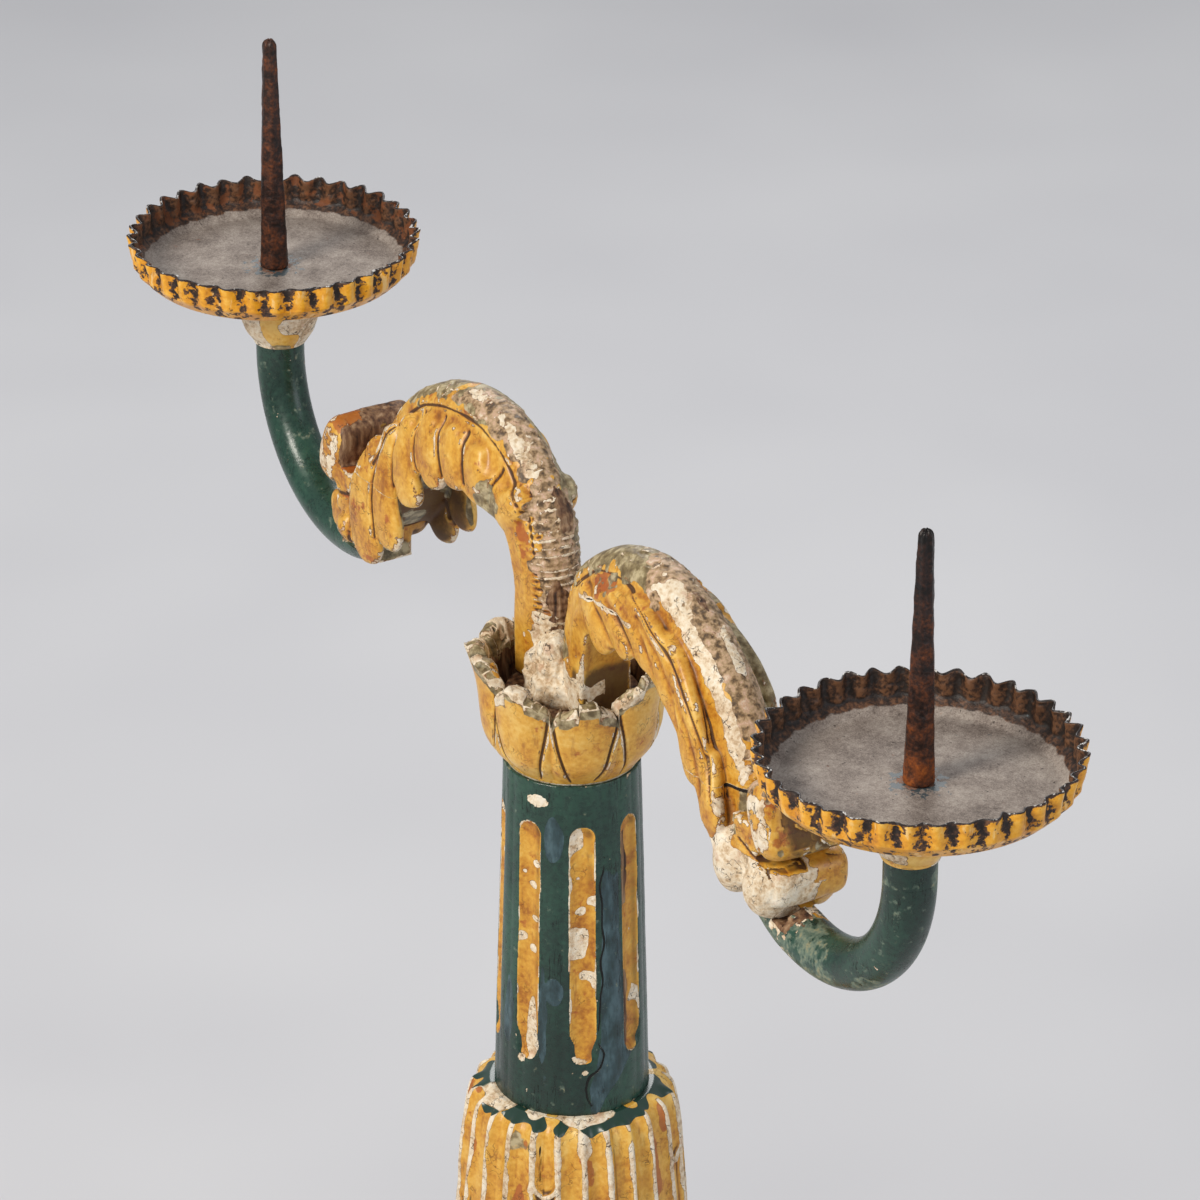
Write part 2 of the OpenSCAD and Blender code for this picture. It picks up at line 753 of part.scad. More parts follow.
module stem_nail(gap = 0, past = 0) {
    translate([heel_x, 0, stem_flat_z])
        rod(stem_nail_w + 2 * gap, -stem_w * nail_low_share - past, stem_w * nail_high_share + past);
}

module stem_nails() {
    color("sienna")
        for (side = [-1, 1])
            on_arm(side)
                stem_nail();
}

module stem_bow(sweep) {
    rotate([-90, 0, 0])
        rotate_extrude(angle = sweep, $fn = round_fn)
            translate([stem_bend_r, 0])
                circle(d = stem_w, $fn = round_fn);
}

module stem(side) {
    top_z = -pan_h - turn_gap - collar_h;
    straight_h = stem_top_h + side * stem_step / 2;
    past_bottom = stem_reach - stem_bend_r - (heel_x - stem_flat_l / 2);
    rise_l = min(past_bottom, stem_bend_r * stem_rise_share);
    rise_angle = asin(rise_l / stem_bend_r);
    run_l = past_bottom - rise_l;
    color("darkgreen")
        on_arm(side)
            difference() {
                translate([stem_reach - stem_bend_r, 0, top_z - straight_h]) {
                    stem_bow(run_l > 0 ? 90 : 90 + rise_angle);
                    if (run_l > 0)
                        translate([-run_l, 0, 0]) {
                            translate([0, 0, -stem_bend_r])
                                rotate([0, 90, 0])
                                    rod(stem_w, 0, run_l);
                            rotate([0, 90, 0])
                                stem_bow(rise_angle);
                        }
                    translate([stem_bend_r, 0, 0])
                        rod(stem_w, 0, straight_h);
                }
                translate([heel_x - 2 * stem_flat_l, -stem_w, stem_flat_z])
                    cube([stem_flat_l * 5 / 2, 2 * stem_w, stem_bend_r]);
                translate([pan_reach, 0, 0])
                    rod(tang_w + 2 * fit_gap, top_z - tang_depth - end_gap, top_z + cut);
                stem_nail(fit_gap, end_gap);
            }
}

module collar(side) {
    top_z = -pan_h - turn_gap;
    grow = (collar_top_w - collar_foot_w) / 2;
    side_line = [for (i = [0:curve_steps]) let (u = i / curve_steps)
        [collar_foot_w / 2 + grow * spline(collar_side_shares, u), collar_h * u]];
    color("khaki")
        on_arm(side)
            translate([stem_reach, 0, top_z - collar_h])
                difference() {
                    turned(side_line);
                    translate([stem_inset, 0, 0])
                        rod(tang_w + 2 * fit_gap, -cut, collar_h + cut);
                }
}

// Drip pans and prickets

module drip_pan(side) {
    steps = crimp_count * 4;
    rim_r = pan_w / 2 - crimp_depth;
    floor_r = pan_floor_w / 2;
    bend_r = pan_bend_w / 2 - crimp_depth * crimp_low_share;
    waves = [for (j = [0:steps - 1]) crimp_depth * sin(360 * crimp_count * j / steps)];
    // Each ring has its radius, how much of the crimp it follows and its height
    rings = [[floor_r, 0, -pan_h], [bend_r, crimp_low_share, pan_bend_h - pan_h], [rim_r, 1, 0],
        [rim_r - sheet, 1, 0], [bend_r - sheet, crimp_low_share, pan_bend_h + sheet / 2 - pan_h],
        [floor_r - sheet, 0, sheet - pan_h]];
    color("darkgray")
        on_arm(side)
            translate([pan_reach, 0, 0])
                difference() {
                    skin([for (ring = rings)
                        [for (j = [0:steps - 1]) let (a = 360 * j / steps, r = ring[0] + ring[1] * waves[j])
                            [r * cos(a), r * sin(a), ring[2]]]]);
                    rod(tang_w + 2 * turn_gap, -pan_h - cut, sheet - pan_h + cut);
                }
}

module pricket(side) {
    foot_z = sheet - pan_h + turn_gap;
    tip_r = pricket_tip_w / 2;
    spike_h = pricket_h - turn_gap - tip_r;
    color("sienna")
        on_arm(side)
            translate([pan_reach, 0, 0]) {
                translate([0, 0, foot_z])
                    cylinder(d1 = pricket_w, d2 = pricket_tip_w, h = spike_h, $fn = round_fn);
                translate([0, 0, foot_z + spike_h])
                    sphere(r = tip_r, $fn = round_fn);
                rod(tang_w, -pan_h - turn_gap - collar_h - tang_depth, foot_z + pricket_w);
            }
}

bun_foot(-1, -1);  // bun_foot_front_left
bun_foot(1, -1);  // bun_foot_front_right
bun_foot(-1, 1);  // bun_foot_back_left
bun_foot(1, 1);  // bun_foot_back_right
plinth_base();
plinth_dowels();
dado();
plinth_cap();
turned_foot();
bead_ring();
spool();
neck_ring();
vase();
column();
flower_cup();
arm_block();
arm_nails();
gesso_packing();
scroll_arm(-1);  // scroll_arm_left
scroll_arm(1);  // scroll_arm_right
tip_dowels();
leaf_tip(-1);  // leaf_tip_left
leaf_tip(1);  // leaf_tip_right
stem_nails();
stem(-1);  // stem_left
stem(1);  // stem_right
collar(-1);  // collar_left
collar(1);  // collar_right
drip_pan(-1);  // drip_pan_left
drip_pan(1);  // drip_pan_right
pricket(-1);  // pricket_left
pricket(1);  // pricket_right
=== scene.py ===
import math

import bmesh
import bpy
import numpy as np
from mathutils import Matrix, Vector


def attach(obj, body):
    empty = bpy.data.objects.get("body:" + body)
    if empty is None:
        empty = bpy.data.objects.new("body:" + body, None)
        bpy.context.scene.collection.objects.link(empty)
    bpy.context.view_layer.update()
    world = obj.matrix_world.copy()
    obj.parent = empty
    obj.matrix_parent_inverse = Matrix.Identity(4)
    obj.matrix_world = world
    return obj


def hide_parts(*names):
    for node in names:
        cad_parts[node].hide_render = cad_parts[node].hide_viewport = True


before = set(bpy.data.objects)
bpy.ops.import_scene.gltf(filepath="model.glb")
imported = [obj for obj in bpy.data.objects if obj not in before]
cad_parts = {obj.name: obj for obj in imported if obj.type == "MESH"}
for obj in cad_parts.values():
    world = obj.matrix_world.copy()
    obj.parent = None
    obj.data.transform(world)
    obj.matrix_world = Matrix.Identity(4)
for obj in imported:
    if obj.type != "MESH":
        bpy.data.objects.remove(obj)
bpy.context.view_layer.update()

# ---- Bun feet ----
# Four balls of soft wood under the corners of the plinth, gilded like the mouldings.
# Each was turned with a round peg on top, which is glued into the plinth base.

MM = 0.001


def linear(code):
    """Linear colour of an sRGB hex code"""
    parts = [int(code[i : i + 2], 16) / 255 for i in (0, 2, 4)]
    return [p / 12.92 if p <= 0.04045 else ((p + 0.055) / 1.055) ** 2.4 for p in parts] + [1]


def put(tree, kind, inputs=None, out=0, stops=None, curve=None, **settings):
    """Adds a node with its settings and links, and gives back one of its outputs"""
    node = tree.nodes.new(kind)
    for key, value in settings.items():
        setattr(node, key, value)
    if stops:
        marks = node.color_ramp.elements
        marks[0].position, marks[-1].position = stops[0][0], stops[-1][0]
        marks[0].color, marks[-1].color = linear(stops[0][1]), linear(stops[-1][1])
        for place, code in stops[1:-1]:
            marks.new(place).color = linear(code)
    if curve:
        points = node.mapping.curves[0].points
        points[0].location, points[-1].location = curve[0], curve[-1]
        for place in curve[1:-1]:
            points.new(*place)
        for point in points:
            point.handle_type = "VECTOR"
        node.mapping.update()
    for key, value in (inputs or {}).items():
        if isinstance(value, Amount):
            tree.links.new(value.socket, node.inputs[key])
        else:
            is_colour = isinstance(value, str) and node.inputs[key].type == "RGBA"
            node.inputs[key].default_value = linear(value) if is_colour else value
    return Amount(tree, node.outputs[out]) if len(node.outputs) else None


class Amount:
    """A value inside a node tree, so that a formula there reads as it is written"""

    def __init__(self, tree, socket):
        self.tree, self.socket = tree, socket

    def do(self, operation, *others):
        return put(self.tree, "ShaderNodeMath", dict(enumerate((self, *others))), operation=operation)

    def __add__(self, other):
        return self.do("ADD", other)

    def __sub__(self, other):
        return self.do("SUBTRACT", other)

    def __mul__(self, other):
        return self.do("MULTIPLY", other)

    def rise(self, low, high):
        """0 below low and 1 above high, with a smooth rise between"""
        limits = {"Value": self, "From Min": low, "From Max": high}
        return put(self.tree, "ShaderNodeMapRange", limits, interpolation_type="SMOOTHSTEP")


def mark(tree, name):
    """A mark that was painted on the points of a mesh; 0 where a mesh has none"""
    return put(tree, "ShaderNodeAttribute", out="Fac", attribute_name=name)


def cloud(tree, size, seed=0.0, detail=4.0, stretch=(1, 1, 1)):
    """Soft noise round 0.5 with lumps of about that size in millimetres"""
    spot = put(tree, "ShaderNodeTexCoord", out="Object")
    spot = put(tree, "ShaderNodeMapping", {"Vector": spot, "Scale": stretch})
    inputs = {"Vector": spot, "W": seed, "Scale": 1 / size / MM, "Detail": detail, "Roughness": 0.6}
    return put(tree, "ShaderNodeTexNoise", inputs, noise_dimensions="4D")


def crackle(tree, size, width, seed):
    """Mask of the fine net of cracks that old gesso and varnish get, with cells of that size"""
    spot = put(tree, "ShaderNodeTexCoord", out="Object")
    bend = put(tree, "ShaderNodeTexNoise", {"Vector": spot, "Scale": 0.8 / size / MM, "Detail": 5.0}, out=1)
    bend = put(tree, "ShaderNodeVectorMath", {0: bend, "Scale": 2.4 * size * MM}, operation="SCALE")
    spot = put(tree, "ShaderNodeVectorMath", {0: spot, 1: bend}, operation="ADD")
    inputs = {"Vector": spot, "W": seed, "Scale": 1 / size / MM}
    edge = put(tree, "ShaderNodeTexVoronoi", inputs, voronoi_dimensions="4D", feature="DISTANCE_TO_EDGE")
    return edge.rise(2 * width / size, width / size)


def toned(tree, value, stops):
    """Colour of a value on a ramp of places and sRGB codes"""
    return put(tree, "ShaderNodeValToRGB", {"Fac": value}, stops=stops)


def layer(colour, rough, relief):
    """A finish: its colour, its roughness and its height in millimetres"""
    return {"colour": colour, "rough": rough, "relief": relief}


def over(tree, under, coat, mask):
    """One finish laid over another where the mask is 1"""
    laid = {}
    sockets = (("colour", 6, 7, "RGBA"), ("rough", 2, 3, "FLOAT"), ("relief", 2, 3, "FLOAT"))
    for key, low, high, kind in sockets:
        inputs = {0: mask, low: under[key], high: coat[key]}
        laid[key] = put(tree, "ShaderNodeMix", inputs, out=2 if kind == "RGBA" else 0, data_type=kind)
    return laid


def surface(name, recipe, **shader):
    """Makes a material of a finish, whose relief in millimetres becomes bump"""
    made = bpy.data.materials.new(name)
    made.use_nodes = True
    tree = made.node_tree
    tree.nodes.clear()
    finish = recipe(tree)
    bump = put(tree, "ShaderNodeBump", {"Height": finish["relief"], "Distance": MM, "Strength": 1.0})
    inputs = {"Base Color": finish["colour"], "Roughness": finish["rough"], "Normal": bump, **shader}
    put(tree, "ShaderNodeOutputMaterial", {"Surface": put(tree, "ShaderNodeBsdfPrincipled", inputs)})
    return made


def old_gesso(tree):
    """Chalk and glue ground, bare where leaf and bole are gone: cream, dusty, with fine cracks"""
    tone = cloud(tree, 8, 1.0) * 0.5 + cloud(tree, 1.3, 2.0, 6.0) * 0.5
    stops = [(0.34, "8C6F4E"), (0.42, "C4A884"), (0.48, "DFCBAC"), (0.56, "EEE2CB"), (0.7, "F5EEE1")]
    colour = toned(tree, tone, stops)
    finish = layer(colour, tone * 0.2 + 0.55, tone * 0.9 - 0.6)
    stain = cloud(tree, 6, 3.0, 5.0).rise(0.56, 0.68) * 0.6
    finish = over(tree, finish, layer("C9A183", 0.6, -0.1), stain)
    split = layer("4A3423", 0.9, -0.6)
    broken = cloud(tree, 5, 5.0).rise(0.5, 0.58)
    return over(tree, finish, split, crackle(tree, 4.5, 0.05, 4.0) * broken * 0.85)


def old_wood(tree):
    """Bare softwood, brown and dry, with its grain showing as fine dark lines"""
    grain = cloud(tree, 2.2, 7.0, 5.0, (1, 1, 0.12))
    stops = [(0.34, "2B1A10"), (0.46, "66452E"), (0.56, "8C6C4D"), (0.68, "B09274")]
    return layer(toned(tree, grain, stops), 0.75, grain * 0.5 - 0.5)


def gilding(tree):
    """Yellow varnish over silver leaf on red bole and gesso, worn through on the ridges.
    The eye sees warm ochre with a satin shine, orange flecks, cream edges, and hollows painted dark brown
    both as grime and as shade."""
    hollow = mark(tree, "hollow")
    fine = cloud(tree, 1.6, 11.0, 5.0)
    # The tone darkens where the mesh lies in a hollow: partly grime, partly painted shade.
    tone = cloud(tree, 11, 12.0, 4.0) * 0.6 + fine * 0.4 - hollow * 0.16 + mark(tree, "pale") * 0.1
    stops = [(0.3, "7C4812"), (0.4, "AC6C1C"), (0.49, "CC912E"), (0.57, "DBA63F"), (0.68, "E7BD62")]
    leaf = toned(tree, tone, stops)
    finish = layer(leaf, fine * 0.35 + 0.22, fine * 0.12)
    bole = layer("A24A1C", 0.5, -0.02)
    orange = (cloud(tree, 5, 13.0) + mark(tree, "bole") * 0.25).rise(0.6, 0.7)
    finish = over(tree, finish, bole, orange * 0.75)
    net = crackle(tree, 5.0, 0.05, 14.0) * cloud(tree, 9, 15.0).rise(0.5, 0.6)
    finish = over(tree, finish, layer("6A3C18", 0.7, -0.12), net * 0.6)
    streak = cloud(tree, 2.4, 20.0, 5.0, (1, 1, 0.3)).rise(0.56, 0.7)
    finish = over(tree, finish, layer("94591F", 0.5, 0.0), streak * 0.55)
    # Dark brown in hollows and under a painted mark: grime, and painted shade under the leaves and their
    # tips, inside the cup and down one side of flutes and fillets.
    dirt_and_shade = layer("3B2512", 0.8, -0.05)
    finish = over(tree, finish, dirt_and_shade, (hollow + fine * 0.6 + mark(tree, "dirt_and_shade")).rise(0.62, 1.15) * 0.88)
    olive = toned(tree, cloud(tree, 3, 16.0, 6.0), [(0.38, "4C4632"), (0.5, "847A5C"), (0.6, "B9AE8C")])
    grey = (cloud(tree, 9, 17.0, 5.0) + mark(tree, "grey") * 0.4).rise(0.68, 0.76)
    finish = over(tree, finish, layer(olive, 0.55, -0.1), grey * 0.9)
    stops = [(0.38, "54402A"), (0.46, "8F7350"), (0.53, "B99C78"), (0.6, "C9A58A"), (0.68, "DCCBB0")]
    tan = toned(tree, cloud(tree, 2.6, 21.0, 8.0), stops)
    rubbed = (cloud(tree, 6, 22.0, 6.0) + mark(tree, "tan") * 0.4).rise(0.72, 0.78)
    finish = over(tree, finish, layer(tan, 0.6, fine * 0.5 - 0.3), rubbed)
    loss = cloud(tree, 5.5, 18.0, 5.0) * 0.8 + mark(tree, "bare") * 0.42 - hollow * 0.28 + 0.09
    finish = over(tree, finish, layer("7C4A20", 0.7, -0.1), loss.rise(0.655, 0.675))
    finish = over(tree, finish, old_gesso(tree), loss.rise(0.675, 0.7))
    gone = (cloud(tree, 4, 19.0, 5.0) + mark(tree, "wood") * 0.45).rise(0.74, 0.78)
    finish = over(tree, finish, old_wood(tree), gone)
    spilt = layer("1F3B31", 0.3, 0.12)
    finish = over(tree, finish, spilt, mark(tree, "paint").rise(0.4, 0.55))
    return over(tree, finish, layer("1C120B", 0.9, -0.8), mark(tree, "crack").rise(0.35, 0.7))


GILDED = surface("mecca_gilding", gilding, **{"Coat Weight": 0.12, "Coat Roughness": 0.3})


def sized_tree(name, sizes):
    """Starts a Geometry Nodes tree whose inputs are named sizes"""
    tree = bpy.data.node_groups.new(name, "GeometryNodeTree")
    for size in sizes:
        tree.interface.new_socket(name=size, in_out="INPUT", socket_type="NodeSocketFloat")
    tree.interface.new_socket(name="Geometry", in_out="OUTPUT", socket_type="NodeSocketGeometry")
    given = tree.nodes.new("NodeGroupInput")
    return tree, [Amount(tree, given.outputs[size]) for size in sizes]


def grown(name, tree, geometry, material, sizes):
    """Ends a tree, gives it these sizes, and gives back the plain mesh that it grows"""
    geometry = put(tree, "GeometryNodeRealizeInstances", {"Geometry": geometry})
    geometry = put(tree, "GeometryNodeMergeByDistance", {"Geometry": geometry, "Distance": 0.02 * MM})
    geometry = put(tree, "GeometryNodeSetShadeSmooth", {0: geometry})
    geometry = put(tree, "GeometryNodeSetMaterial", {"Geometry": geometry, "Material": material})
    put(tree, "NodeGroupOutput", {0: geometry})
    planted = bpy.data.objects.new(name, bpy.data.meshes.new(name))
    bpy.context.collection.objects.link(planted)
    modifier = planted.modifiers.new("grow", "NODES")
    modifier.node_group = tree
    for socket in tree.interface.items_tree:
        if socket.in_out == "INPUT":
            modifier[socket.identifier] = float(sizes[socket.name])
    graph = bpy.context.evaluated_depsgraph_get()
    grown_up = planted.evaluated_get(graph)
    mesh = bpy.data.meshes.new_from_object(grown_up, preserve_all_data_layers=True, depsgraph=graph)
    planted.modifiers.remove(modifier)
    bpy.data.objects.remove(planted)
    mesh.name = name
    return mesh


def wound_grid(tree, columns, rows):
    """A sheet to be wound round the axis: its mesh, the angle round it and the share of the way up"""
    size = {"Size X": 1.0, "Size Y": 1.0, "Vertices X": columns + 1, "Vertices Y": rows}
    sheet = put(tree, "GeometryNodeMeshGrid", size)
    here = put(tree, "GeometryNodeInputPosition")
    across = put(tree, "ShaderNodeSeparateXYZ", {0: here}, out="X")
    along = put(tree, "ShaderNodeSeparateXYZ", {0: here}, out="Y")
    return sheet, (across + 0.5) * (2 * math.pi), along + 0.5


def wound(tree, sheet, angle, radius, height):
    """Winds the sheet into a round body of that radius and height"""
    parts = {"X": radius * angle.do("COSINE"), "Y": radius * angle.do("SINE"), "Z": height}
    place = put(tree, "ShaderNodeCombineXYZ", parts)
    return put(tree, "GeometryNodeSetPosition", {"Geometry": sheet, "Position": place})


def settle(name, mesh, material, slot, body, *nodes):
    """Puts a finished mesh in the scene on its body, in place of the CAD nodes it stands for"""
    piece = bpy.data.objects.new(name, mesh)
    bpy.context.collection.objects.link(piece)
    mesh.materials.clear()
    mesh.materials.append(material)
    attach(piece, body)
    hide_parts(*nodes)
    return piece


BUN_W, BUN_H, BUN_PLACE = 36, 22, 72
# Share of the way along the outline with the share of the radius, and with the share of the height
BUN_RADIUS = [(0, 0), (0.14, 0.54), (0.2, 0.64), (0.34, 0.88), (0.5, 1)]
BUN_RADIUS += [(0.66, 0.88), (0.8, 0.64), (0.86, 0.54), (1, 0)]
BUN_RISE = [(0, 0), (0.14, 0), (0.2, 0.05), (0.34, 0.22), (0.5, 0.5)]
BUN_RISE += [(0.66, 0.78), (0.8, 0.95), (0.86, 1), (1, 1)]


def bun_feet():
    tree, (radius, height, place) = sized_tree("bun_feet", ["Radius", "Height", "Place"])
    sheet, angle, share = wound_grid(tree, 96, 60)
    out = put(tree, "ShaderNodeFloatCurve", {"Value": share}, curve=BUN_RADIUS)
    up = put(tree, "ShaderNodeFloatCurve", {"Value": share}, curve=BUN_RISE)
    ball = wound(tree, sheet, angle, radius * out, height * up)
    corners = put(tree, "GeometryNodeMeshGrid", {0: place * 2, 1: place * 2, 2: 2, 3: 2})
    turn = put(tree, "GeometryNodeInputIndex") * 1.3
    turned = put(tree, "ShaderNodeCombineXYZ", {"Z": turn})
    copies = {"Points": corners, "Instance": ball, "Rotation": turned}
    feet = put(tree, "GeometryNodeInstanceOnPoints", copies)
    sizes = {"Radius": BUN_W / 2 * MM, "Height": BUN_H * MM, "Place": BUN_PLACE * MM}
    return grown("bun_feet", tree, feet, GILDED, sizes)


def points_of(mesh, key="co"):
    """Places in metres, or normals, of a mesh's points"""
    source = mesh.vertices if key == "co" else mesh.vertex_normals
    values = np.empty(len(mesh.vertices) * 3)
    source.foreach_get(key, values)
    return values.reshape(-1, 3)


def move_points(mesh, points):
    """Sets the points of a mesh to places in millimetres"""
    mesh.vertices.foreach_set("co", (points * MM).ravel())


def averaged(mesh, points, reach):
    """Points of a mesh drawn towards their neighbours, as if rubbed down over that distance"""
    count = len(points)
    edges = np.empty(len(mesh.edges) * 2, int)
    mesh.edges.foreach_get("vertices", edges)
    a, b = edges.reshape(-1, 2).T
    spacing = np.linalg.norm(points[a] - points[b], axis=1).mean()
    near = np.maximum(np.bincount(a, minlength=count) + np.bincount(b, minlength=count), 1)
    for _ in range(int(np.clip((reach / spacing) ** 2, 4, 24))):
        sums = [np.bincount(a, points[b, k], minlength=count) for k in range(3)]
        sums = [sums[k] + np.bincount(b, points[a, k], minlength=count) for k in range(3)]
        points = 0.5 * points + 0.5 * np.stack(sums, -1) / near[:, None]
    return points


def mark_hollows(mesh, reach=1.6):
    """Stores how deep in a hollow each point lies, or how far out on an edge, from -1 to 1"""
    points = points_of(mesh) / MM
    move = averaged(mesh, points, reach) - points
    depth = np.einsum("ij,ij->i", move, points_of(mesh, "vector")) / (0.16 * reach)
    store(mesh, "hollow", np.clip(depth, -1, 1))


def store(mesh, name, values):
    """Keeps one number for each point of a mesh, for its material to read"""
    kept = mesh.attributes.get(name) or mesh.attributes.new(name, "FLOAT", "POINT")
    kept.data.foreach_set("value", np.ascontiguousarray(values, dtype=np.float32).ravel())


mesh = bun_feet()
mark_hollows(mesh)
four_feet = ["bun_foot_front_left", "bun_foot_front_right", "bun_foot_back_left", "bun_foot_back_right"]
settle("gilded_bun_feet", mesh, GILDED, "gilded_wood", "stand", *four_feet)

# ---- Plinth base, dado and cap ----
# Square pedestal of planed boards: green dado with sunk panels between two gilt mouldings.
# The dado stands on the base on two dowels, and the cap is glued on top of it.


def noise(points, size, seed):
    """Smooth noise from -1 to 1 at points, with lumps of about that size"""
    place = np.asarray(points, float) / size + 50.37
    cell = np.floor(place).astype(np.int64)
    part = place - cell
    part = part * part * (3 - 2 * part)
    total = np.zeros(place.shape[:-1])
    for corner in np.ndindex(2, 2, 2):
        at = cell + corner
        h = (at[..., 0] * 73856093) ^ (at[..., 1] * 19349663) ^ (at[..., 2] * 83492791) ^ (seed * 40503 + 977)
        h = (h ^ (h >> 13)) * 1274126177 & 0x7FFFFFFF
        h = (h ^ (h >> 11)) * 668265263 & 0x7FFFFFFF
        value = ((h >> 8) & 0xFFFF) / 32767.5 - 1
        total += value * np.prod(np.where(corner, part, 1 - part), axis=-1)
    return total


def chipped(points, size, seed):
    """Flat broken facets from -1 to 1, each about that size and tilted its own way"""
    place = np.asarray(points, float) / size + 50.37
    cell = np.floor(place).astype(np.int64)
    best, value = np.full(place.shape[:-1], 1e9), np.zeros(place.shape[:-1])
    for step in np.ndindex(3, 3, 3):
        at = cell + step - 1
        h = (at[..., 0] * 73856093) ^ (at[..., 1] * 19349663) ^ (at[..., 2] * 83492791) ^ (seed * 7919 + 31)
        draws = []
        for _ in range(7):
            h = (h ^ (h >> 13)) * 1274126177 & 0x7FFFFFFF
            h ^= h >> 11
            draws.append(((h >> 7) & 0xFFFF) / 65535)
        away = place - (at + np.stack(draws[:3], -1))
        gap = (away**2).sum(-1)
        tilt = np.stack(draws[3:6], -1) - 0.5
        mine = (draws[6] - 0.5) + (away * tilt).sum(-1) * 1.6
        closer = gap < best
        best, value = np.where(closer, gap, best), np.where(closer, mine, value)
    return np.clip(value, -1, 1)


def ramp(values, low, high):
    """0 below low and 1 above high, with a smooth rise between; low may be the larger one"""
    share = np.clip((values - low) / (high - low), 0, 1)
    return share * share * (3 - 2 * share)


def trace(corners, step, soften=0.0):
    """Points along a line through corners, a step apart, with its corners worn round"""
    corners = np.asarray(corners, float)
    length = np.r_[0, np.cumsum(np.linalg.norm(np.diff(corners, axis=0), axis=1))]
    at = np.linspace(0, length[-1], int(length[-1] / step) + 2)
    line = np.stack([np.interp(at, length, corners[:, k]) for k in range(corners.shape[1])], -1)
    for _ in range(int(round((soften / step) ** 2 * 2))):
        line[1:-1] = 0.5 * line[1:-1] + 0.25 * (line[:-2] + line[2:])
    return line


def normals_of(rows):
    """Outward unit normals of a closed ring grid, whose rings run anticlockwise from above"""
    along = np.gradient(rows, axis=0)
    round_it = np.roll(rows, -1, 1) - np.roll(rows, 1, 1)
    out = np.cross(round_it, along)
    return out / np.maximum(np.linalg.norm(out, axis=-1, keepdims=True), 1e-9)


def shell(name, rows, marks=None):
    """Closed mesh in metres through rings of points in millimetres, with marks on its points"""
    count, width = rows.shape[:2]
    index = np.arange(count * width).reshape(count, width)
    after = np.roll(index, -1, 1)
    quads = np.stack([index[:-1], after[:-1], after[1:], index[1:]], -1).reshape(-1, 4)
    low, high = count * width, count * width + 1
    low_fan = np.stack([after[0], index[0], np.full(width, low)], -1)
    high_fan = np.stack([index[-1], after[-1], np.full(width, high)], -1)
    fans = np.concatenate([low_fan, high_fan])
    points = np.concatenate([rows.reshape(-1, 3), [rows[0].mean(0), rows[-1].mean(0)]]) * MM
    mesh = bpy.data.meshes.new(name)
    mesh.from_pydata(points.tolist(), [], quads.tolist() + fans.tolist())
    corner = points[quads]
    volume = np.einsum("ij,ij->i", corner[:, 0], np.cross(corner[:, 1], corner[:, 2])).sum()
    volume += np.einsum("ij,ij->i", corner[:, 0], np.cross(corner[:, 2], corner[:, 3])).sum()
    if volume < 0:
        mesh.flip_normals()
    mesh.shade_smooth()
    for key, values in (marks or {}).items():
        values = np.broadcast_to(values, (count, width))
        store(mesh, key, np.concatenate([values.ravel(), [values[0].mean(), values[-1].mean()]]))
    mark_hollows(mesh)
    return mesh


def ring_square(line, side_points=44, corner_points=5, corner=1.6):
    """Rings of a square moulding: each point of its line is a half width and a height"""
    reach = line[:, 0][:, None]
    rows = []
    for turn in range(4):
        along = np.linspace(-1, 1, side_points)[None] * (reach - corner)
        bend = np.linspace(0, math.pi / 2, corner_points + 2)[None, 1:-1]
        x = np.concatenate([reach + 0 * along, reach - corner + corner * np.cos(bend)], 1)
        y = np.concatenate([along, reach - corner + corner * np.sin(bend)], 1)
        c, s = math.cos(turn * math.pi / 2), math.sin(turn * math.pi / 2)
        rows.append(np.stack([c * x - s * y, s * x + c * y], -1))
    flat = np.concatenate(rows, 1)
    height = np.broadcast_to(line[:, 1][:, None, None], flat.shape[:2] + (1,))
    return np.concatenate([flat, height], -1)


def turns(columns):
    """Angles of that many columns round the axis"""
    return np.linspace(0, 2 * math.pi, columns, endpoint=False)


def polar(radius, angle, height):
    """Points at a radius, an angle and a height round the axis"""
    return np.stack(np.broadcast_arrays(radius * np.cos(angle), radius * np.sin(angle), height), -1)


def ring_round(line, columns=192):
    """Rings of a turned piece: each point of its line is a radius and a height"""
    return polar(line[:, 0][:, None], turns(columns), line[:, 1][:, None])


def worn(rows, seed, wobble=0.25, dents=0.5):
    """Hand-planed waviness and small dents on a ring grid, and a mark where a dent bared the gesso"""
    out = normals_of(rows)
    dent = ramp(noise(rows, 9, seed + 5) + 0.35 * noise(rows, 3, seed + 6), 0.62, 0.8)
    lift = wobble * noise(rows, 30, seed) + 0.3 * wobble * noise(rows, 7, seed + 1) - dents * dent
    return rows + out * lift[..., None], dent


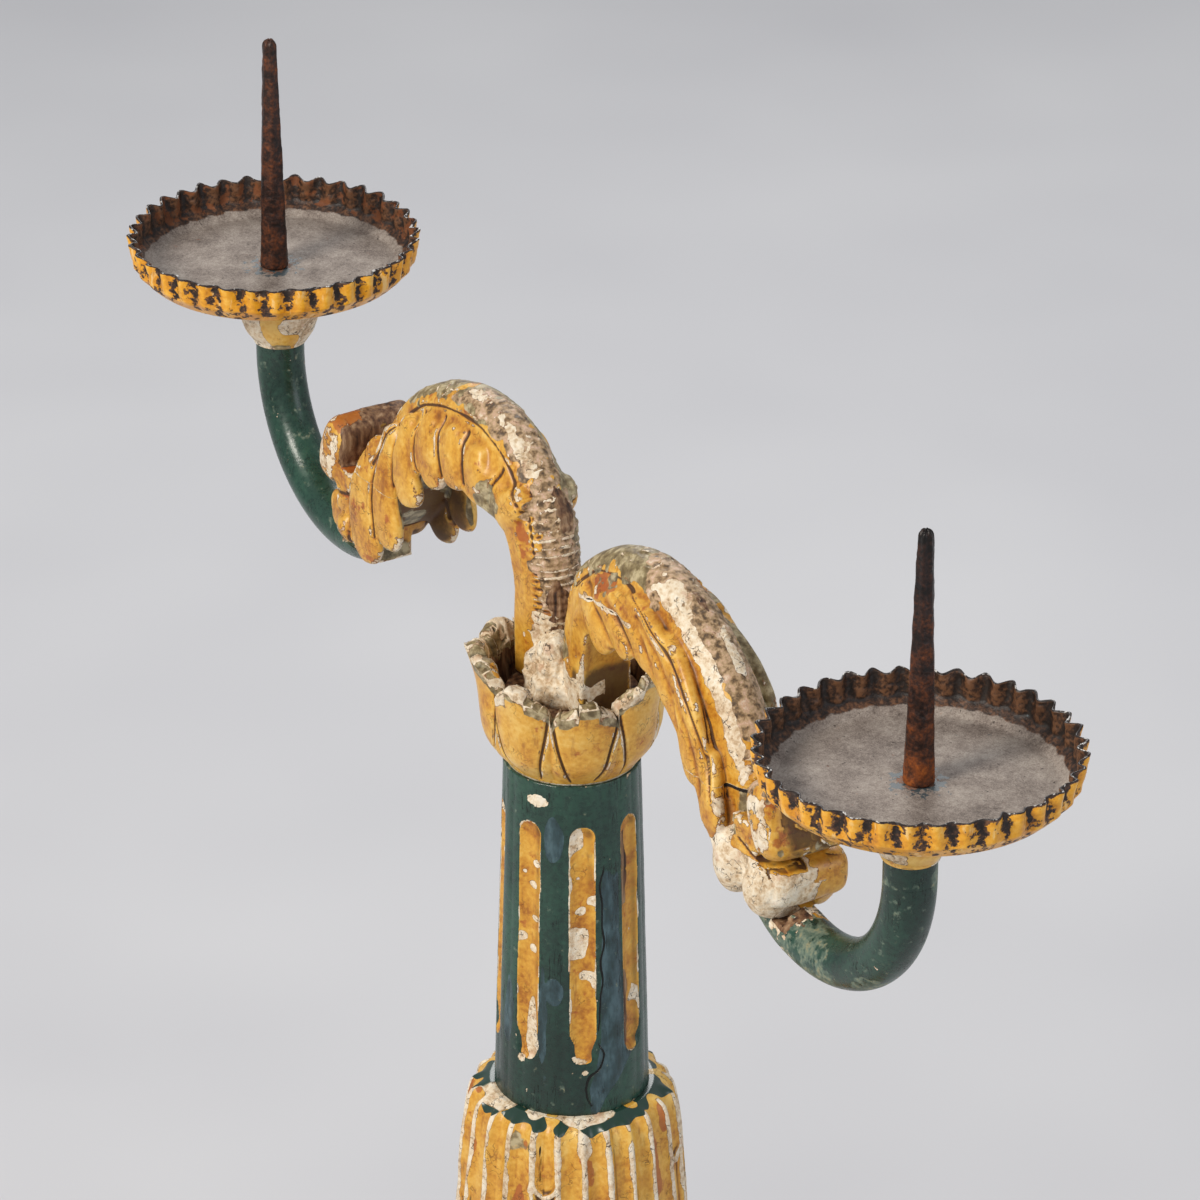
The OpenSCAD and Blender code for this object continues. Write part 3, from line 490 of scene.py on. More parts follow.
def green_paint(tree):
    """Old oil paint over gesso: bottle green, glossy, with blue-grey mends, dull rubbed places
    and small cream chips. Vertical hairline cracks follow the grain of the wood."""
    hollow = mark(tree, "hollow")
    fine = cloud(tree, 2.0, 31.0, 5.0)
    tone = cloud(tree, 28, 32.0, 3.0, (1, 1, 0.4)) * 0.65 + fine * 0.35
    stops = [(0.32, "0D1E19"), (0.46, "17332A"), (0.56, "234639"), (0.7, "355B49")]
    colour = toned(tree, tone, stops)
    finish = layer(colour, fine * 0.3 + 0.14, fine * 0.1)
    mend = (cloud(tree, 7, 33.0, 5.0, (1, 1, 0.35)) + mark(tree, "patch") * 0.42).rise(0.66, 0.72)
    stops = [(0.4, "1E3136"), (0.5, "2F464E"), (0.62, "4C656E")]
    blue = toned(tree, cloud(tree, 4, 39.0, 5.0, (1, 1, 0.4)), stops)
    finish = over(tree, finish, layer(blue, 0.2, 0.12), mend * 0.8)
    dust = (cloud(tree, 3, 34.0, 6.0) + mark(tree, "worn") * 0.3 - hollow * 0.15).rise(0.62, 0.75)
    stops = [(0.42, "54685B"), (0.54, "7C8B79"), (0.66, "A39C78")]
    chalky = toned(tree, cloud(tree, 2, 40.0, 6.0), stops)
    finish = over(tree, finish, layer(chalky, 0.5, 0.0), dust * 0.75)
    split = cloud(tree, 3.2, 35.0, 4.0, (1, 1, 0.06))
    lines = (split - 0.5).do("ABSOLUTE").rise(0.006, 0.002) * cloud(tree, 12, 36.0).rise(0.5, 0.58)
    finish = over(tree, finish, layer("0A0D0B", 0.8, -0.3), lines * 0.8)
    loss = cloud(tree, 3.4, 37.0, 5.0) + mark(tree, "bare") * 0.4 - hollow * 0.15
    finish = over(tree, finish, layer("0C100C", 0.7, -0.1), loss.rise(0.7, 0.715))
    finish = over(tree, finish, old_gesso(tree), loss.rise(0.715, 0.73))
    gone = (cloud(tree, 4, 38.0, 5.0) + mark(tree, "wood") * 0.45).rise(0.74, 0.78)
    finish = over(tree, finish, old_wood(tree), gone)
    gilt = (mark(tree, "gilt") + fine * 0.5).rise(0.68, 0.76)
    finish = over(tree, finish, gilding(tree), gilt)
    return over(tree, finish, layer("080A08", 0.9, -0.8), mark(tree, "crack").rise(0.35, 0.7))


GREEN = surface("bottle_green_oil_paint", green_paint)

BASE_LINE = [(0, 22), (94, 22), (95, 22.6), (95, 31), (94.4, 31)]
CAP_LINE = [(15.2, 86), (73, 86), (73.2, 86.4)]
hollow_arc = [(1 - math.sin(t), 1 - math.cos(t)) for t in np.linspace(0, math.pi / 2, 12)]
BASE_LINE += [(73 + 22 * x, 31 + 11 * y) for x, y in hollow_arc] + [(72.6, 42), (0, 42)]
CAP_LINE += [(73 + 7 * (1 - x), 86.6 + 7.4 * (1 - y)) for x, y in hollow_arc[::-1]]
CAP_LINE += [(79.8, 94), (80, 94.4), (80, 99.6), (79.4, 100), (15.2, 100), (15.2, 86)]


def thinned(line, reach):
    """A line with a quarter of its points where it runs hidden, nearer the axis than reach"""
    kept = (line[:, 0] > reach) | (np.arange(len(line)) % 4 == 0)
    kept[-1] = True
    return line[kept]


def plinth_piece(name, corners, seed, material, slot, marks, nodes):
    line = thinned(trace(corners, 0.9, 0.5), 58)
    rows, dent = worn(ring_square(line), seed)
    settle(name, shell(name, rows, {"bare": dent, **marks(rows)}), material, slot, "stand", *nodes)


def base_gilt(rows):
    """The hollow of the base is gilt, its slab green"""
    return {"gilt": ramp(rows[..., 2], 31.0, 31.6) - ramp(rows[..., 2], 41.0, 41.6)}


plinth_piece("moulded_plinth_base", BASE_LINE, 11, GREEN, "green_wood", base_gilt, ["plinth_base"])
plinth_piece("moulded_plinth_cap", CAP_LINE, 12, GILDED, "gilded_wood", lambda rows: {}, ["plinth_cap"])

DADO_HALF, DADO_Z, DADO_H = 69, 42, 44
PANEL_HALF, PANEL_EDGE, PANEL_SINK = 60, 9, 2.0

line = trace([(0, DADO_Z), (DADO_HALF, DADO_Z), (DADO_HALF, DADO_Z + DADO_H), (0, DADO_Z + DADO_H)], 0.8, 0.4)
line = thinned(line, DADO_HALF - 4)
rows = ring_square(line, 140, 3, 1.0)
flat_x, flat_y = np.abs(rows[..., 0]), np.abs(rows[..., 1])
along = np.minimum(flat_x, flat_y)
from_edge = np.minimum(rows[..., 2] - DADO_Z, DADO_Z + DADO_H - rows[..., 2])
inward = np.minimum(PANEL_HALF - along, from_edge - PANEL_EDGE)
on_side = ramp(np.maximum(flat_x, flat_y), DADO_HALF - 1.5, DADO_HALF - 0.5)
sink = PANEL_SINK * ramp(inward, 0, 1.6) * on_side
bead = 0.9 * np.exp(-(((inward - 2.8) / 0.9) ** 2)) * on_side
worn_rows, dent = worn(rows, 13)
worn_rows = worn_rows - normals_of(rows) * (sink - bead)[..., None]
gilt = ramp(inward, 0.6, 1.2) - ramp(inward, 4.4, 5.0)
mesh = shell("dado", worn_rows, {"bare": dent, "gilt": gilt * on_side})
settle("panelled_dado", mesh, GREEN, "green_wood", "stand", "dado")

# ---- Dowels ----
# Straight round pins of split softwood, glued into blind holes. Two hold the dado on the
# plinth base and one holds each leaf tip on its arm; they only show if a joint opens.

BARE_WOOD = surface("bare_softwood", old_wood)


def pins(name, places, width, length, material, along_x=False):
    """Round pins with eased ends, one at each place"""
    tree, (radius, height) = sized_tree(name, ["Radius", "Length"])
    sheet, angle, share = wound_grid(tree, 32, 14)
    swell = [(0, 0), (0.08, 0.8), (0.16, 1), (0.84, 1), (0.92, 0.8), (1, 0)]
    climb = [(0, 0), (0.08, 0), (0.16, 0.04), (0.84, 0.96), (0.92, 1), (1, 1)]
    out = put(tree, "ShaderNodeFloatCurve", {"Value": share}, curve=swell)
    up = put(tree, "ShaderNodeFloatCurve", {"Value": share}, curve=climb)
    pin = wound(tree, sheet, angle, radius * out, height * (up - 0.5))
    if along_x:
        pin = put(tree, "GeometryNodeTransform", {"Geometry": pin, "Rotation": (0, math.pi / 2, 0)})
    joined = tree.nodes.new("GeometryNodeJoinGeometry")
    for place in places:
        moved = {"Geometry": pin, "Translation": [c * MM for c in place]}
        copy = put(tree, "GeometryNodeTransform", moved)
        tree.links.new(copy.socket, joined.inputs[0])
    sizes = {"Radius": width / 2 * MM, "Length": length * MM}
    mesh = grown(name, tree, Amount(tree, joined.outputs[0]), material, sizes)
    mark_hollows(mesh)
    return mesh


# Heights of the pans' rims, right and left; heights on the arms are counted down from them
RIM_Z = {1: 592.5, -1: 607.5}
TIP_JOINT = -53.0
PLINTH_PIN_X, TIP_PIN_X = 35, 106.6
mesh = pins("plinth_pins", [(s * PLINTH_PIN_X, 0, DADO_Z) for s in (-1, 1)], 10, 24, BARE_WOOD)
settle("split_wood_plinth_pins", mesh, BARE_WOOD, "bare_wood", "stand", "plinth_dowels")
mesh = pins("tip_pins", [(s * TIP_PIN_X, 0, RIM_Z[s] + TIP_JOINT) for s in (-1, 1)], 5, 16, BARE_WOOD)
settle("split_wood_tip_pins", mesh, BARE_WOOD, "bare_wood", "stand", "tip_dowels")

# ---- Turned foot, bead ring, spool and neck ring ----
# Softwood turned on the lathe. The foot, the spool and the vase each have a tenon in one
# piece with them, and the two gilt rings are threaded on the tenons between them.


def turned_piece(name, corners, seed, material, slot, node, marks=lambda rows: {}, columns=192, soften=0.6):
    line = trace(corners, 0.8, soften)
    rows, dent = worn(ring_round(line, columns), seed)
    settle(name, shell(name, rows, {"bare": dent, **marks(rows)}), material, slot, "stand", node)


def half_round(reach, from_z, height, bore):
    """Line of a ring with a rounded rim round a bore"""
    bend = np.linspace(-math.pi / 2, math.pi / 2, 16)
    half = height / 2
    rim = [(reach - half + half * math.cos(t), from_z + half + half * math.sin(t)) for t in bend]
    return [(bore, from_z), *rim, (bore, from_z + height)]


def foot_gilt(rows):
    """A gilt band round the foot's skirt and another below its neck"""
    z = rows[..., 2]
    return {"gilt": (ramp(z, 100, 101) - ramp(z, 110.5, 111.5)) + ramp(z, 160, 161)}


SKIRT_REACH, SKIRT_R = 62.8, 68 * 0.16 / 2
skirt_bend = np.linspace(-1.57, 1.57, 12)
foot_line = [(0, 84), (14.6, 84), (15, 84.4), (15, 100)]
for t in skirt_bend:
    foot_line.append((SKIRT_REACH + SKIRT_R * (math.cos(t) - 1), 100 + SKIRT_R * (1 + math.sin(t))))
foot_line += [(22 + 35.56 * x, 110.88 + 50.32 * y) for x, y in hollow_arc] + [(22, 168), (0, 168)]
turned_piece("turned_green_foot", foot_line, 21, GREEN, "green_wood", "turned_foot", foot_gilt, 240)
turned_piece("turned_gilt_bead", half_round(27, 168, 14, 8.2), 22, GILDED, "gilded_wood", "bead_ring")
WAIST_R = (28 * 28 + 8 * 8) / 16
waist_bend = np.linspace(-0.556, 0.556, 30)
waist = [(13 + WAIST_R * (1 - math.cos(t)), 210 + WAIST_R * math.sin(t)) for t in waist_bend]
spool_line = [(0, 152), (7.6, 152), (8, 152.4), (8, 182), *waist, (0, 238)]


def spool_gilt(rows):
    """Gilt fillets at the two ends of the spool"""
    z = rows[..., 2]
    return {"gilt": ramp(z, 187.5, 186.5) * ramp(z, 181, 182) + ramp(z, 232.5, 233.5)}


turned_piece("turned_green_spool", spool_line, 23, GREEN, "green_wood", "spool", spool_gilt)
turned_piece("turned_gilt_neck_ring", half_round(22, 238, 12, 7.2), 24, GILDED, "gilded_wood", "neck_ring")

# ---- Vase ----
# Turned in one piece with its lower tenon and carved with 24 raised fillets. Every other field
# between them is a tongue with a raised rim below. Gilded; the fillets are rubbed to the gesso.


def through(shares, at):
    """Points on the smooth curve through a list, for shares of the way along it"""
    shares = np.asarray(shares, float)
    last = len(shares) - 1
    at = np.asarray(at, float)
    k = np.clip((at * last).astype(int), 0, last - 1)
    t = at * last - k
    if shares.ndim > 1:
        t = t[..., None]
    a, b, c, d = shares[np.maximum(k - 1, 0)], shares[k], shares[k + 1], shares[np.minimum(k + 2, last)]
    return b + t * ((c - a) / 2 + t * (a - 2.5 * b + 2 * c - d / 2 + t * (1.5 * (b - c) + (d - a) / 2)))


VASE_Z, VASE_H, VASE_R = 250, 125, 39.5
VASE_SHARES = [(0.42, 0), (0.5, 0.07), (0.68, 0.18), (0.88, 0.32), (0.985, 0.46), (1, 0.56)]
VASE_SHARES += [(0.975, 0.68), (0.95, 0.8), (0.915, 0.9), (0.86, 0.97), (0.73, 1)]
FILLETS, FIRST_FILLET = 24, -1.745  # how many, and the angle of the first
FILLET_SHIFT = np.radians([3, 6, 8, 7, 4, 2, 0, -4, -5, 0, 2, 5, -3, 2, 4, -2, 3, 0, 5, -3, 2, 0, 4, -1])
TONGUE_FOOT, SHORT_TONGUE_FOOT = 0.62, 0.79

at = np.linspace(0, 1, 200)
side = through(VASE_SHARES, at)
columns = 420
angle = turns(columns)
height = side[:, 1][:, None] * VASE_H
up = np.broadcast_to(side[:, 1][:, None], (len(at), columns))
wander = angle[None] + 0.02 * noise(polar(39, angle, height), 22, 40)
pitch = 2 * math.pi / FILLETS
from_first = wander - FIRST_FILLET
nearest = np.round(from_first / pitch)
fillet_no = nearest.astype(int) % FILLETS
offset = from_first - nearest * pitch - FILLET_SHIFT[fillet_no] * 0.35
cell = np.floor(from_first / pitch).astype(int)
tongue = cell % 2 == 1
short = cell % 6 == 3
foot = np.where(short, SHORT_TONGUE_FOOT, TONGUE_FOOT)
fade = ramp(up, 0.02, 0.14) * ramp(up, 1.0, 0.975)
arc_mm = offset * VASE_R * side[:, 0][:, None]
width_mm = pitch * VASE_R * side[:, 0][:, None]
fillet = np.exp(-((arc_mm / 1.3) ** 2))
within = np.clip(np.abs(arc_mm) / (width_mm / 2), 0, 1)
closed = ramp(up, foot + 0.03, foot - 0.03)
dish = -1.2 * ramp(within, 0.1, 0.9)
leaf = -0.9 * ramp(within, 0.15, 0.4) + 0.5 * ramp(within, 0.5, 1)
lift = 1.3 * fillet + np.where(tongue, dish * (1 - closed) + leaf * closed, dish * 0.6)
sag = foot + 0.04 * (1 - within) ** 2
rim_of_tongue = np.exp(-(((up - sag) * VASE_H / 1.0) ** 2)) * tongue
radius = VASE_R * side[:, 0][:, None] - 1.3 + (lift + 1.7 * rim_of_tongue * (1 - fillet)) * fade
radius = radius + 0.35 * noise(polar(39, wander, up * VASE_H), 11, 41) * fade
rows = polar(radius, angle, VASE_Z + height)
rubbed = ramp(noise(rows, 14, 42) + 0.5 * noise(rows, 5, 43), -0.9, -0.2)
shoulder = ramp(up, 0.86, 0.95)
middle = (from_first - (cell + 0.4) * pitch) * VASE_R
front = np.cos(angle - math.radians(305))[None]
edge_wear = ramp(up + 0.02 * noise(rows, 6, 49), 0.985, 0.995) * ramp(front, 0.3, 0.8)
bare = 1.3 * np.exp(-((arc_mm / 1.0) ** 2)) * rubbed + 1.2 * rim_of_tongue
bare = bare + 0.7 * ramp(noise(rows, 10, 44), 0.5, 0.7) * (up > 0.9)
cracked = short * ramp(up, foot + 0.03, foot + 0.05) * ramp(up, 0.95, 0.93)
splashed = noise(rows * [1, 1, 0.4], 4.5, 48) + 1.6 * ramp(up, 0.93, 1.0)
marks = {
    "bare": np.clip(bare, 0, 1) * fade + edge_wear,
    # Dark line down one side of each fillet: painted shadow.
    "dirt_and_shade": 0.5 * np.exp(-(((arc_mm - 2.2) / 0.6) ** 2)) * fade * ramp(noise(rows, 12, 46), 0.1, 0.5),
    "crack": np.exp(-(((middle + 0.6 * noise(rows, 5, 50)) / 0.35) ** 2)) * cracked,
    "paint": ramp(splashed, 1.25, 1.5) * (1 - edge_wear),
    "pale": 0.5 + 0.4 * shoulder,
    "bole": 1.2 * ramp(noise(rows * [1, 1, 0.5], 5, 47), 0.45, 0.7),
    "grey": 0.6 * ramp(noise(rows, 9, 45), 0.5, 0.8) * shoulder,
}
tenon = ring_round(trace([(0, 226), (6.8, 226), (7, 226.3), (7, VASE_Z)], 2.5), columns)
top = VASE_Z + VASE_H
socket = ring_round(trace([(27, top), (11.2, top), (11.2, top - 22)], 3.0), columns)
rows = np.concatenate([tenon, rows, socket])
beyond = ((len(tenon), len(rows) - len(tenon) - len(up)), (0, 0))
marks = {key: np.pad(value + 0 * up, beyond, mode="edge") for key, value in marks.items()}
settle("carved_vase", shell("vase", rows, marks), GILDED, "gilded_wood", "stand", "vase")

# ---- Column ----
# Turned and tapered, with eight flutes cut by one gouge. The gouge's grooves are gilt and
# the rest is bottle green, mended here and there with blue-grey paint.

COLUMN_Z, COLUMN_H = 375, 121.5
COLUMN_R = (25.8, 22.5)
FOOT_PEG, HEAD_PEG = 22, 11
FLUTE_R, FLUTE_DEPTH, FLUTE_FOOT, FLUTE_HEAD = 8, 1.7, 19, 14.5

columns = 380
angle = turns(columns)[None]
rise = np.linspace(0, COLUMN_H, 214)[:, None]
full = COLUMN_R[0] + (COLUMN_R[1] - COLUMN_R[0]) * rise / COLUMN_H
round_xyz = polar(full, angle, rise + COLUMN_Z)
turn = np.mod(angle, math.pi / 4) - math.pi / 8
half_w = math.sqrt(FLUTE_R**2 - (FLUTE_R - FLUTE_DEPTH) ** 2)
ragged = 1.1 * noise(round_xyz, 9, 51) + 0.5 * noise(round_xyz, 3, 52)
past = np.maximum(0, np.maximum(FLUTE_FOOT + half_w - rise, rise - (COLUMN_H - FLUTE_HEAD - half_w)))
cutter = full + FLUTE_R - FLUTE_DEPTH
ball = np.maximum(FLUTE_R**2 - past**2, 0)
inside = ball - (cutter * np.sin(turn)) ** 2
cut = cutter * np.cos(turn) - np.sqrt(np.maximum(inside, 0))
cut = np.where(inside > 0, cut, 1e3)
planed = np.mod(angle * 22 / (2 * math.pi) + 0.35, 1) - 0.5
body = full - 0.22 * (planed**2) * 4 + 0.12 * noise(round_xyz, 18, 53) + 0.05 * noise(round_xyz, 4, 54)
radius = np.minimum(body, cut + 0.15 * noise(round_xyz, 5, 55))
flute = ramp(body - cut, -0.25, 0.35)


def seen_at(a, z, reach_a, reach_z, seed, ragged_by=0.35):
    """Ragged blot on the column round an angle in degrees and a height, of those half sizes"""
    across = (np.mod(np.degrees(angle) - a + 180, 360) - 180) / reach_a
    gap = np.sqrt(across**2 + ((rise + COLUMN_Z - z) / reach_z) ** 2)
    return ramp(gap + ragged_by * noise(round_xyz, 6, seed), 1.05, 0.9)


def seam(points, width, seed):
    """Thin wandering line on the column through points of angle and height"""
    a, z = np.array(points, float).T
    here = rise + COLUMN_Z
    wander = 2.5 * noise(round_xyz, 7, seed)
    across = (np.mod(np.degrees(angle) - np.interp(here, z, a) + 180, 360) - 180) * full * 0.01745
    inside = (here > z[0]) & (here < z[-1])
    broken = ramp(noise(round_xyz, 5, seed + 1), -0.7, -0.2)
    return np.exp(-(((across + wander) / width) ** 2)) * inside * broken


# The split's course and the far edge of the slate-blue mend beside it: angles and heights.
# Then blots, each an angle, a height, two half sizes and a seed
SPLIT_A, SPLIT_Z = [-17.5, -18, -12.5, -8.5, -8, -7, -7], [378, 384.7, 392, 402, 420, 440, 470]
SLATE_A, SLATE_Z = [-12, -4, 10, 21, 22, 13, 10, 9], [375, 381, 388, 395, 404, 414, 436, 470]
MENDS = [(-46, 478, 7, 9, 61), (-54, 413, 4, 19, 62), (-88, 408, 6, 13, 76), (-44, 421, 7, 5, 77)]
MENDS += [(120, 450, 15, 25, 64), (210, 420, 12, 22, 65)]
CHIPS = [(-60, 490, 10, 2.0, 68), (-64, 404, 6, 12, 69), (-72, 393.5, 4, 1.6, 78), (-21, 391, 2.5, 1.0, 79)]
degrees, at_z = np.mod(np.degrees(angle) + 180, 360) - 180, rise + COLUMN_Z
degrees = degrees + 1.5 * noise(round_xyz, 6, 63)
past_split = ramp(degrees - np.interp(at_z, SPLIT_Z, SPLIT_A), 0, 0.8)
patch = past_split * ramp(degrees - np.interp(at_z, SLATE_Z, SLATE_A), 0.6, -0.6) * ramp(at_z, 472, 455)
patch = patch + sum(seen_at(*blot) for blot in MENDS)
rubbed = noise(round_xyz, 12, 66) + 0.6 * noise(round_xyz, 4, 67)
bare = 0.9 * ramp(flute * ramp(rubbed, 0.0, 0.4), 0.4, 0.9)
at_edge = (flute > 0.1) * (flute < 0.9) * ramp(noise(round_xyz, 10, 75), 0.0, 0.3)
bare = bare + 0.8 * at_edge * ramp(rise, 34, 40) + sum(seen_at(*blot) for blot in CHIPS)
rows = polar(radius, angle, rise + COLUMN_Z)
line_cracks = seam(list(zip(SPLIT_A, SPLIT_Z)), 0.4, 70) + seam([(150, 400), (158, 470)], 0.4, 71)
gilt_half = 2.2 + 3.6 * ramp(rise, 18, 38) + 0.7 * ragged
marks = {
    "gilt": flute * ramp(gilt_half - np.abs(turn) * full, -0.2, 0.3),
    "patch": np.clip(patch, 0, 1),
    "bare": np.clip(bare, 0, 1) * (1 - ramp(seen_at(14, 440, 12, 60, 72), 0, 1)),
    "wood": seen_at(14, 440, 9, 46, 72) * flute * ramp(noise(round_xyz, 8, 73), -0.2, 0.3),
    "crack": line_cracks * (1 - flute),
    # Gilding darker down one side of each flute: painted shade.
    "dirt_and_shade": 0.45 * flute * ramp(turn, -0.03, 0.12) * ramp(noise(round_xyz * [1, 1, 0.2], 8, 74), -0.8, 0.3),
}
low, shoulder = COLUMN_Z - FOOT_PEG, COLUMN_Z + COLUMN_H
high = shoulder + HEAD_PEG
foot_line = [(0, low), (10.7, low), (11, low + 0.3), (11, COLUMN_Z), (25.6, COLUMN_Z)]
head_line = [(22.3, shoulder), (8, shoulder), (8, high - 0.3), (7.6, high), (0, high)]
foot_tenon = ring_round(trace(foot_line, 3.0), columns)
head_tenon = ring_round(trace(head_line, 3.0), columns)
marks = {key: np.pad(value, ((len(foot_tenon), len(head_tenon)), (0, 0))) for key, value in marks.items()}
rows = np.concatenate([foot_tenon, rows, head_tenon])
settle("fluted_column", shell("column", rows, marks), GREEN, "green_wood", "stand", "column")

# ---- Flower cup ----
# Calyx of eight broad petals with small pointed sepals over the seams, carved from one block
# and gilded. Most tips are broken: the breaks show gesso, dusty wood and slabs of old paint.

CUP_Z, CUP_H, CUP_FLOOR, CUP_WALL = 496.5, 42, 4, 3.6
CUP_FOOT, CUP_BELLY, CUP_TIP = 21.5, 30.5, 34.5
CUP_SIDE = [0, 0.62, 0.86, 0.97, 1, 0.99]
TIP_HEIGHT = [0.93, 0.82, 0.96, 1, 0.9, 0.98, 0.86, 0.78]
TIP_LEAN = [0.9, 0.6, 0.9, 1, 0.9, 1, 0.6, 0.3]
SEPAL_TIPS = [31, 27, 34, 29, 30, 33, 26, 32]
NOTCH, CREASE = 9, 1.5

columns = 480
angle = (np.arange(columns) + 0.5) * 2 * math.pi / columns
petal = np.floor(angle * 4 / math.pi).astype(int) % 8
open_up = np.abs(np.sin(4 * angle)) ** 0.6
edge_xyz = polar(34, angle, 0)
tip_height, tip_lean = np.array(TIP_HEIGHT)[petal], np.array(TIP_LEAN)[petal]
rim = CUP_H * tip_height - NOTCH * (1 - open_up)
rim = rim + 3.4 * chipped(edge_xyz, 11, 81) + 0.8 * noise(edge_xyz, 3, 82)
rim = np.minimum(rim, CUP_H * tip_height)


def cup_radius(z):
    """Radius of the cup's outside, before the petals are modelled"""
    u = np.clip(z / CUP_H, 0, 1)
    flare = np.maximum(0, u / tip_height - 0.55) / 0.45
    radius = CUP_FOOT + (CUP_BELLY - CUP_FOOT) * through(CUP_SIDE, u)
    radius = radius + (CUP_TIP - CUP_BELLY) * flare**2 * tip_lean
    return radius - CREASE * u * (1 - open_up)


steps_up, lip_steps, steps_down = 110, 10, 60
share = np.linspace(0, 1, steps_up)[:, None]
z = rim[None] * share
radius = cup_radius(z)
petal_turn = np.mod(4 * angle / math.pi, 1)[None]
from_seam = np.minimum(petal_turn, 1 - petal_turn) * radius * math.pi / 4
wander = 1.1 * noise(polar(34, angle, z), 10, 80)
apex = np.array(SEPAL_TIPS)[np.round(4 * angle / math.pi).astype(int) % 8]
sepal_half = 5.6 * ramp(z, apex, -8) ** 0.8
from_seam = np.abs(from_seam + wander * 0.5)
sepal = ramp(from_seam, sepal_half + 0.4, sepal_half - 0.4) * (z < apex)
beside_sepal = np.exp(-(((from_seam - sepal_half) / 0.6) ** 2))
groove = np.where(z < apex, beside_sepal, np.exp(-((from_seam / 0.7) ** 2)))
belly = 1.3 * np.sin(math.pi * np.clip(petal_turn, 0, 1)) ** 0.7
xyz = polar(radius, angle, z)
ribs = 0.25 * noise(xyz * [1, 1, 0.15], 3.5, 83)
fade = ramp(z, 0, 4)
radius = radius + (belly - 0.75 + 0.55 * sepal - 1.0 * groove + ribs + 0.35 * noise(xyz, 8, 84)) * fade
outer = polar(radius, angle, z)
wall = CUP_WALL * (1 + 0.25 * noise(edge_xyz, 8, 85))
inner_share = np.linspace(1, 0, steps_down)[:, None]
inner_z = CUP_FLOOR + (rim[None] - CUP_FLOOR) * inner_share
slab = 2.6 * ramp(chipped(edge_xyz, 13, 92), -0.5, 0.4) * ramp(rim[None] - inner_z, 12, 3)
inner_r = cup_radius(inner_z) - wall - slab
inner_r = inner_r + 0.9 * chipped(polar(inner_r, angle, inner_z), 7, 86)
inner = polar(inner_r, angle, inner_z)
blend_across = np.linspace(0, 1, lip_steps + 2)[1:-1, None, None]
lip = outer[-1][None] * (1 - blend_across) + inner[0][None] * blend_across
bulge = 0.9 * np.sin(math.pi * blend_across[..., 0]) + 1.3 * chipped(lip, 6, 87)
lip = lip + np.stack([0 * bulge, 0 * bulge, bulge], -1)
rows = np.concatenate([outer, lip, inner]) + [0, 0, CUP_Z]
breaks = np.concatenate([ramp(z, rim[None] - 5, rim[None] - 1), np.ones((lip_steps + steps_down, columns))])
seams = np.pad(groove * fade, ((0, lip_steps + steps_down), (0, 0)))
inside = np.pad(np.zeros((steps_up + lip_steps, columns)), ((0, steps_down), (0, 0)), constant_values=1)
# Inside the cup, darker towards its floor: painted shade, laid with the grime in the seams.
dark = inside * ramp(rows[..., 2], CUP_Z + 26, CUP_Z + 12)
bare = breaks * ramp(noise(rows, 7, 88), -0.2, 0.5) + 0.5 * seams * ramp(noise(rows, 9, 89), 0, 0.4)
marks = {
    "bare": np.clip(bare, 0, 1),
    "grey": np.clip(breaks * ramp(noise(rows, 8, 90), -0.9, -0.3) * 1.6, 0, 2),
    "wood": np.clip(inside * ramp(rows[..., 2], CUP_Z + 36, CUP_Z + 24), 0, 1),
    "dirt_and_shade": np.clip(seams * 0.9 + dark, 0, 1),
    "pale": 0.7 * (1 - breaks),
}
settle("carved_flower_cup", shell("cup", rows, marks), GILDED, "gilded_wood", "stand", "flower_cup")

# ---- Arm block, nails and gesso packing ----
# A turned block in the cup, of bare wood, takes the pegs of the two arms. A nail goes through
# each peg, and white gesso was packed round the roots in rough lumps.

BLOCK_Z, BLOCK_H, ROOT_Z, ROOT_X = 500.5, 20, 520.5, 11.96

bend = np.linspace(0, math.pi / 2, 14)
block_flank = [(17 + 5 * math.sin(t), BLOCK_Z + BLOCK_H * (1 - math.cos(t))) for t in bend]
block_line = [(8.2, 508), (8.2, BLOCK_Z), *block_flank, (0, ROOT_Z)]
rows, _ = worn(ring_round(trace(block_line, 0.8, 0.5), 160), 101, 0.2, 0.3)
mesh = shell("block", rows, {"bare": ramp(noise(rows, 8, 102), 0.2, 0.6)})
settle("turned_arm_block", mesh, BARE_WOOD, "bare_wood", "stand", "arm_block")


def rusted(tree):
    """Hammered iron under old rust: nearly black, with brown and orange powdery patches"""
    tone = cloud(tree, 5, 111.0, 5.0) * 0.6 + cloud(tree, 1.1, 112.0, 4.0) * 0.4 + mark(tree, "rust") * 0.16
    stops = [(0.36, "14100E"), (0.47, "33201A"), (0.56, "5A3320"), (0.66, "8C4A1F"), (0.8, "C4702A")]
    colour = toned(tree, tone, stops)
    return layer(colour, tone * 0.9 + 0.02, tone * 0.7)


IRON = surface("rusted_wrought_iron", rusted, **{"Metallic": 0.35})
mesh = pins("arm_nail_pins", [(s * (ROOT_X + 3), 0, 515) for s in (-1, 1)], 2.6, 15, IRON, along_x=True)
settle("rusty_arm_nails", mesh, IRON, "wrought_iron", "stand", "arm_nails")

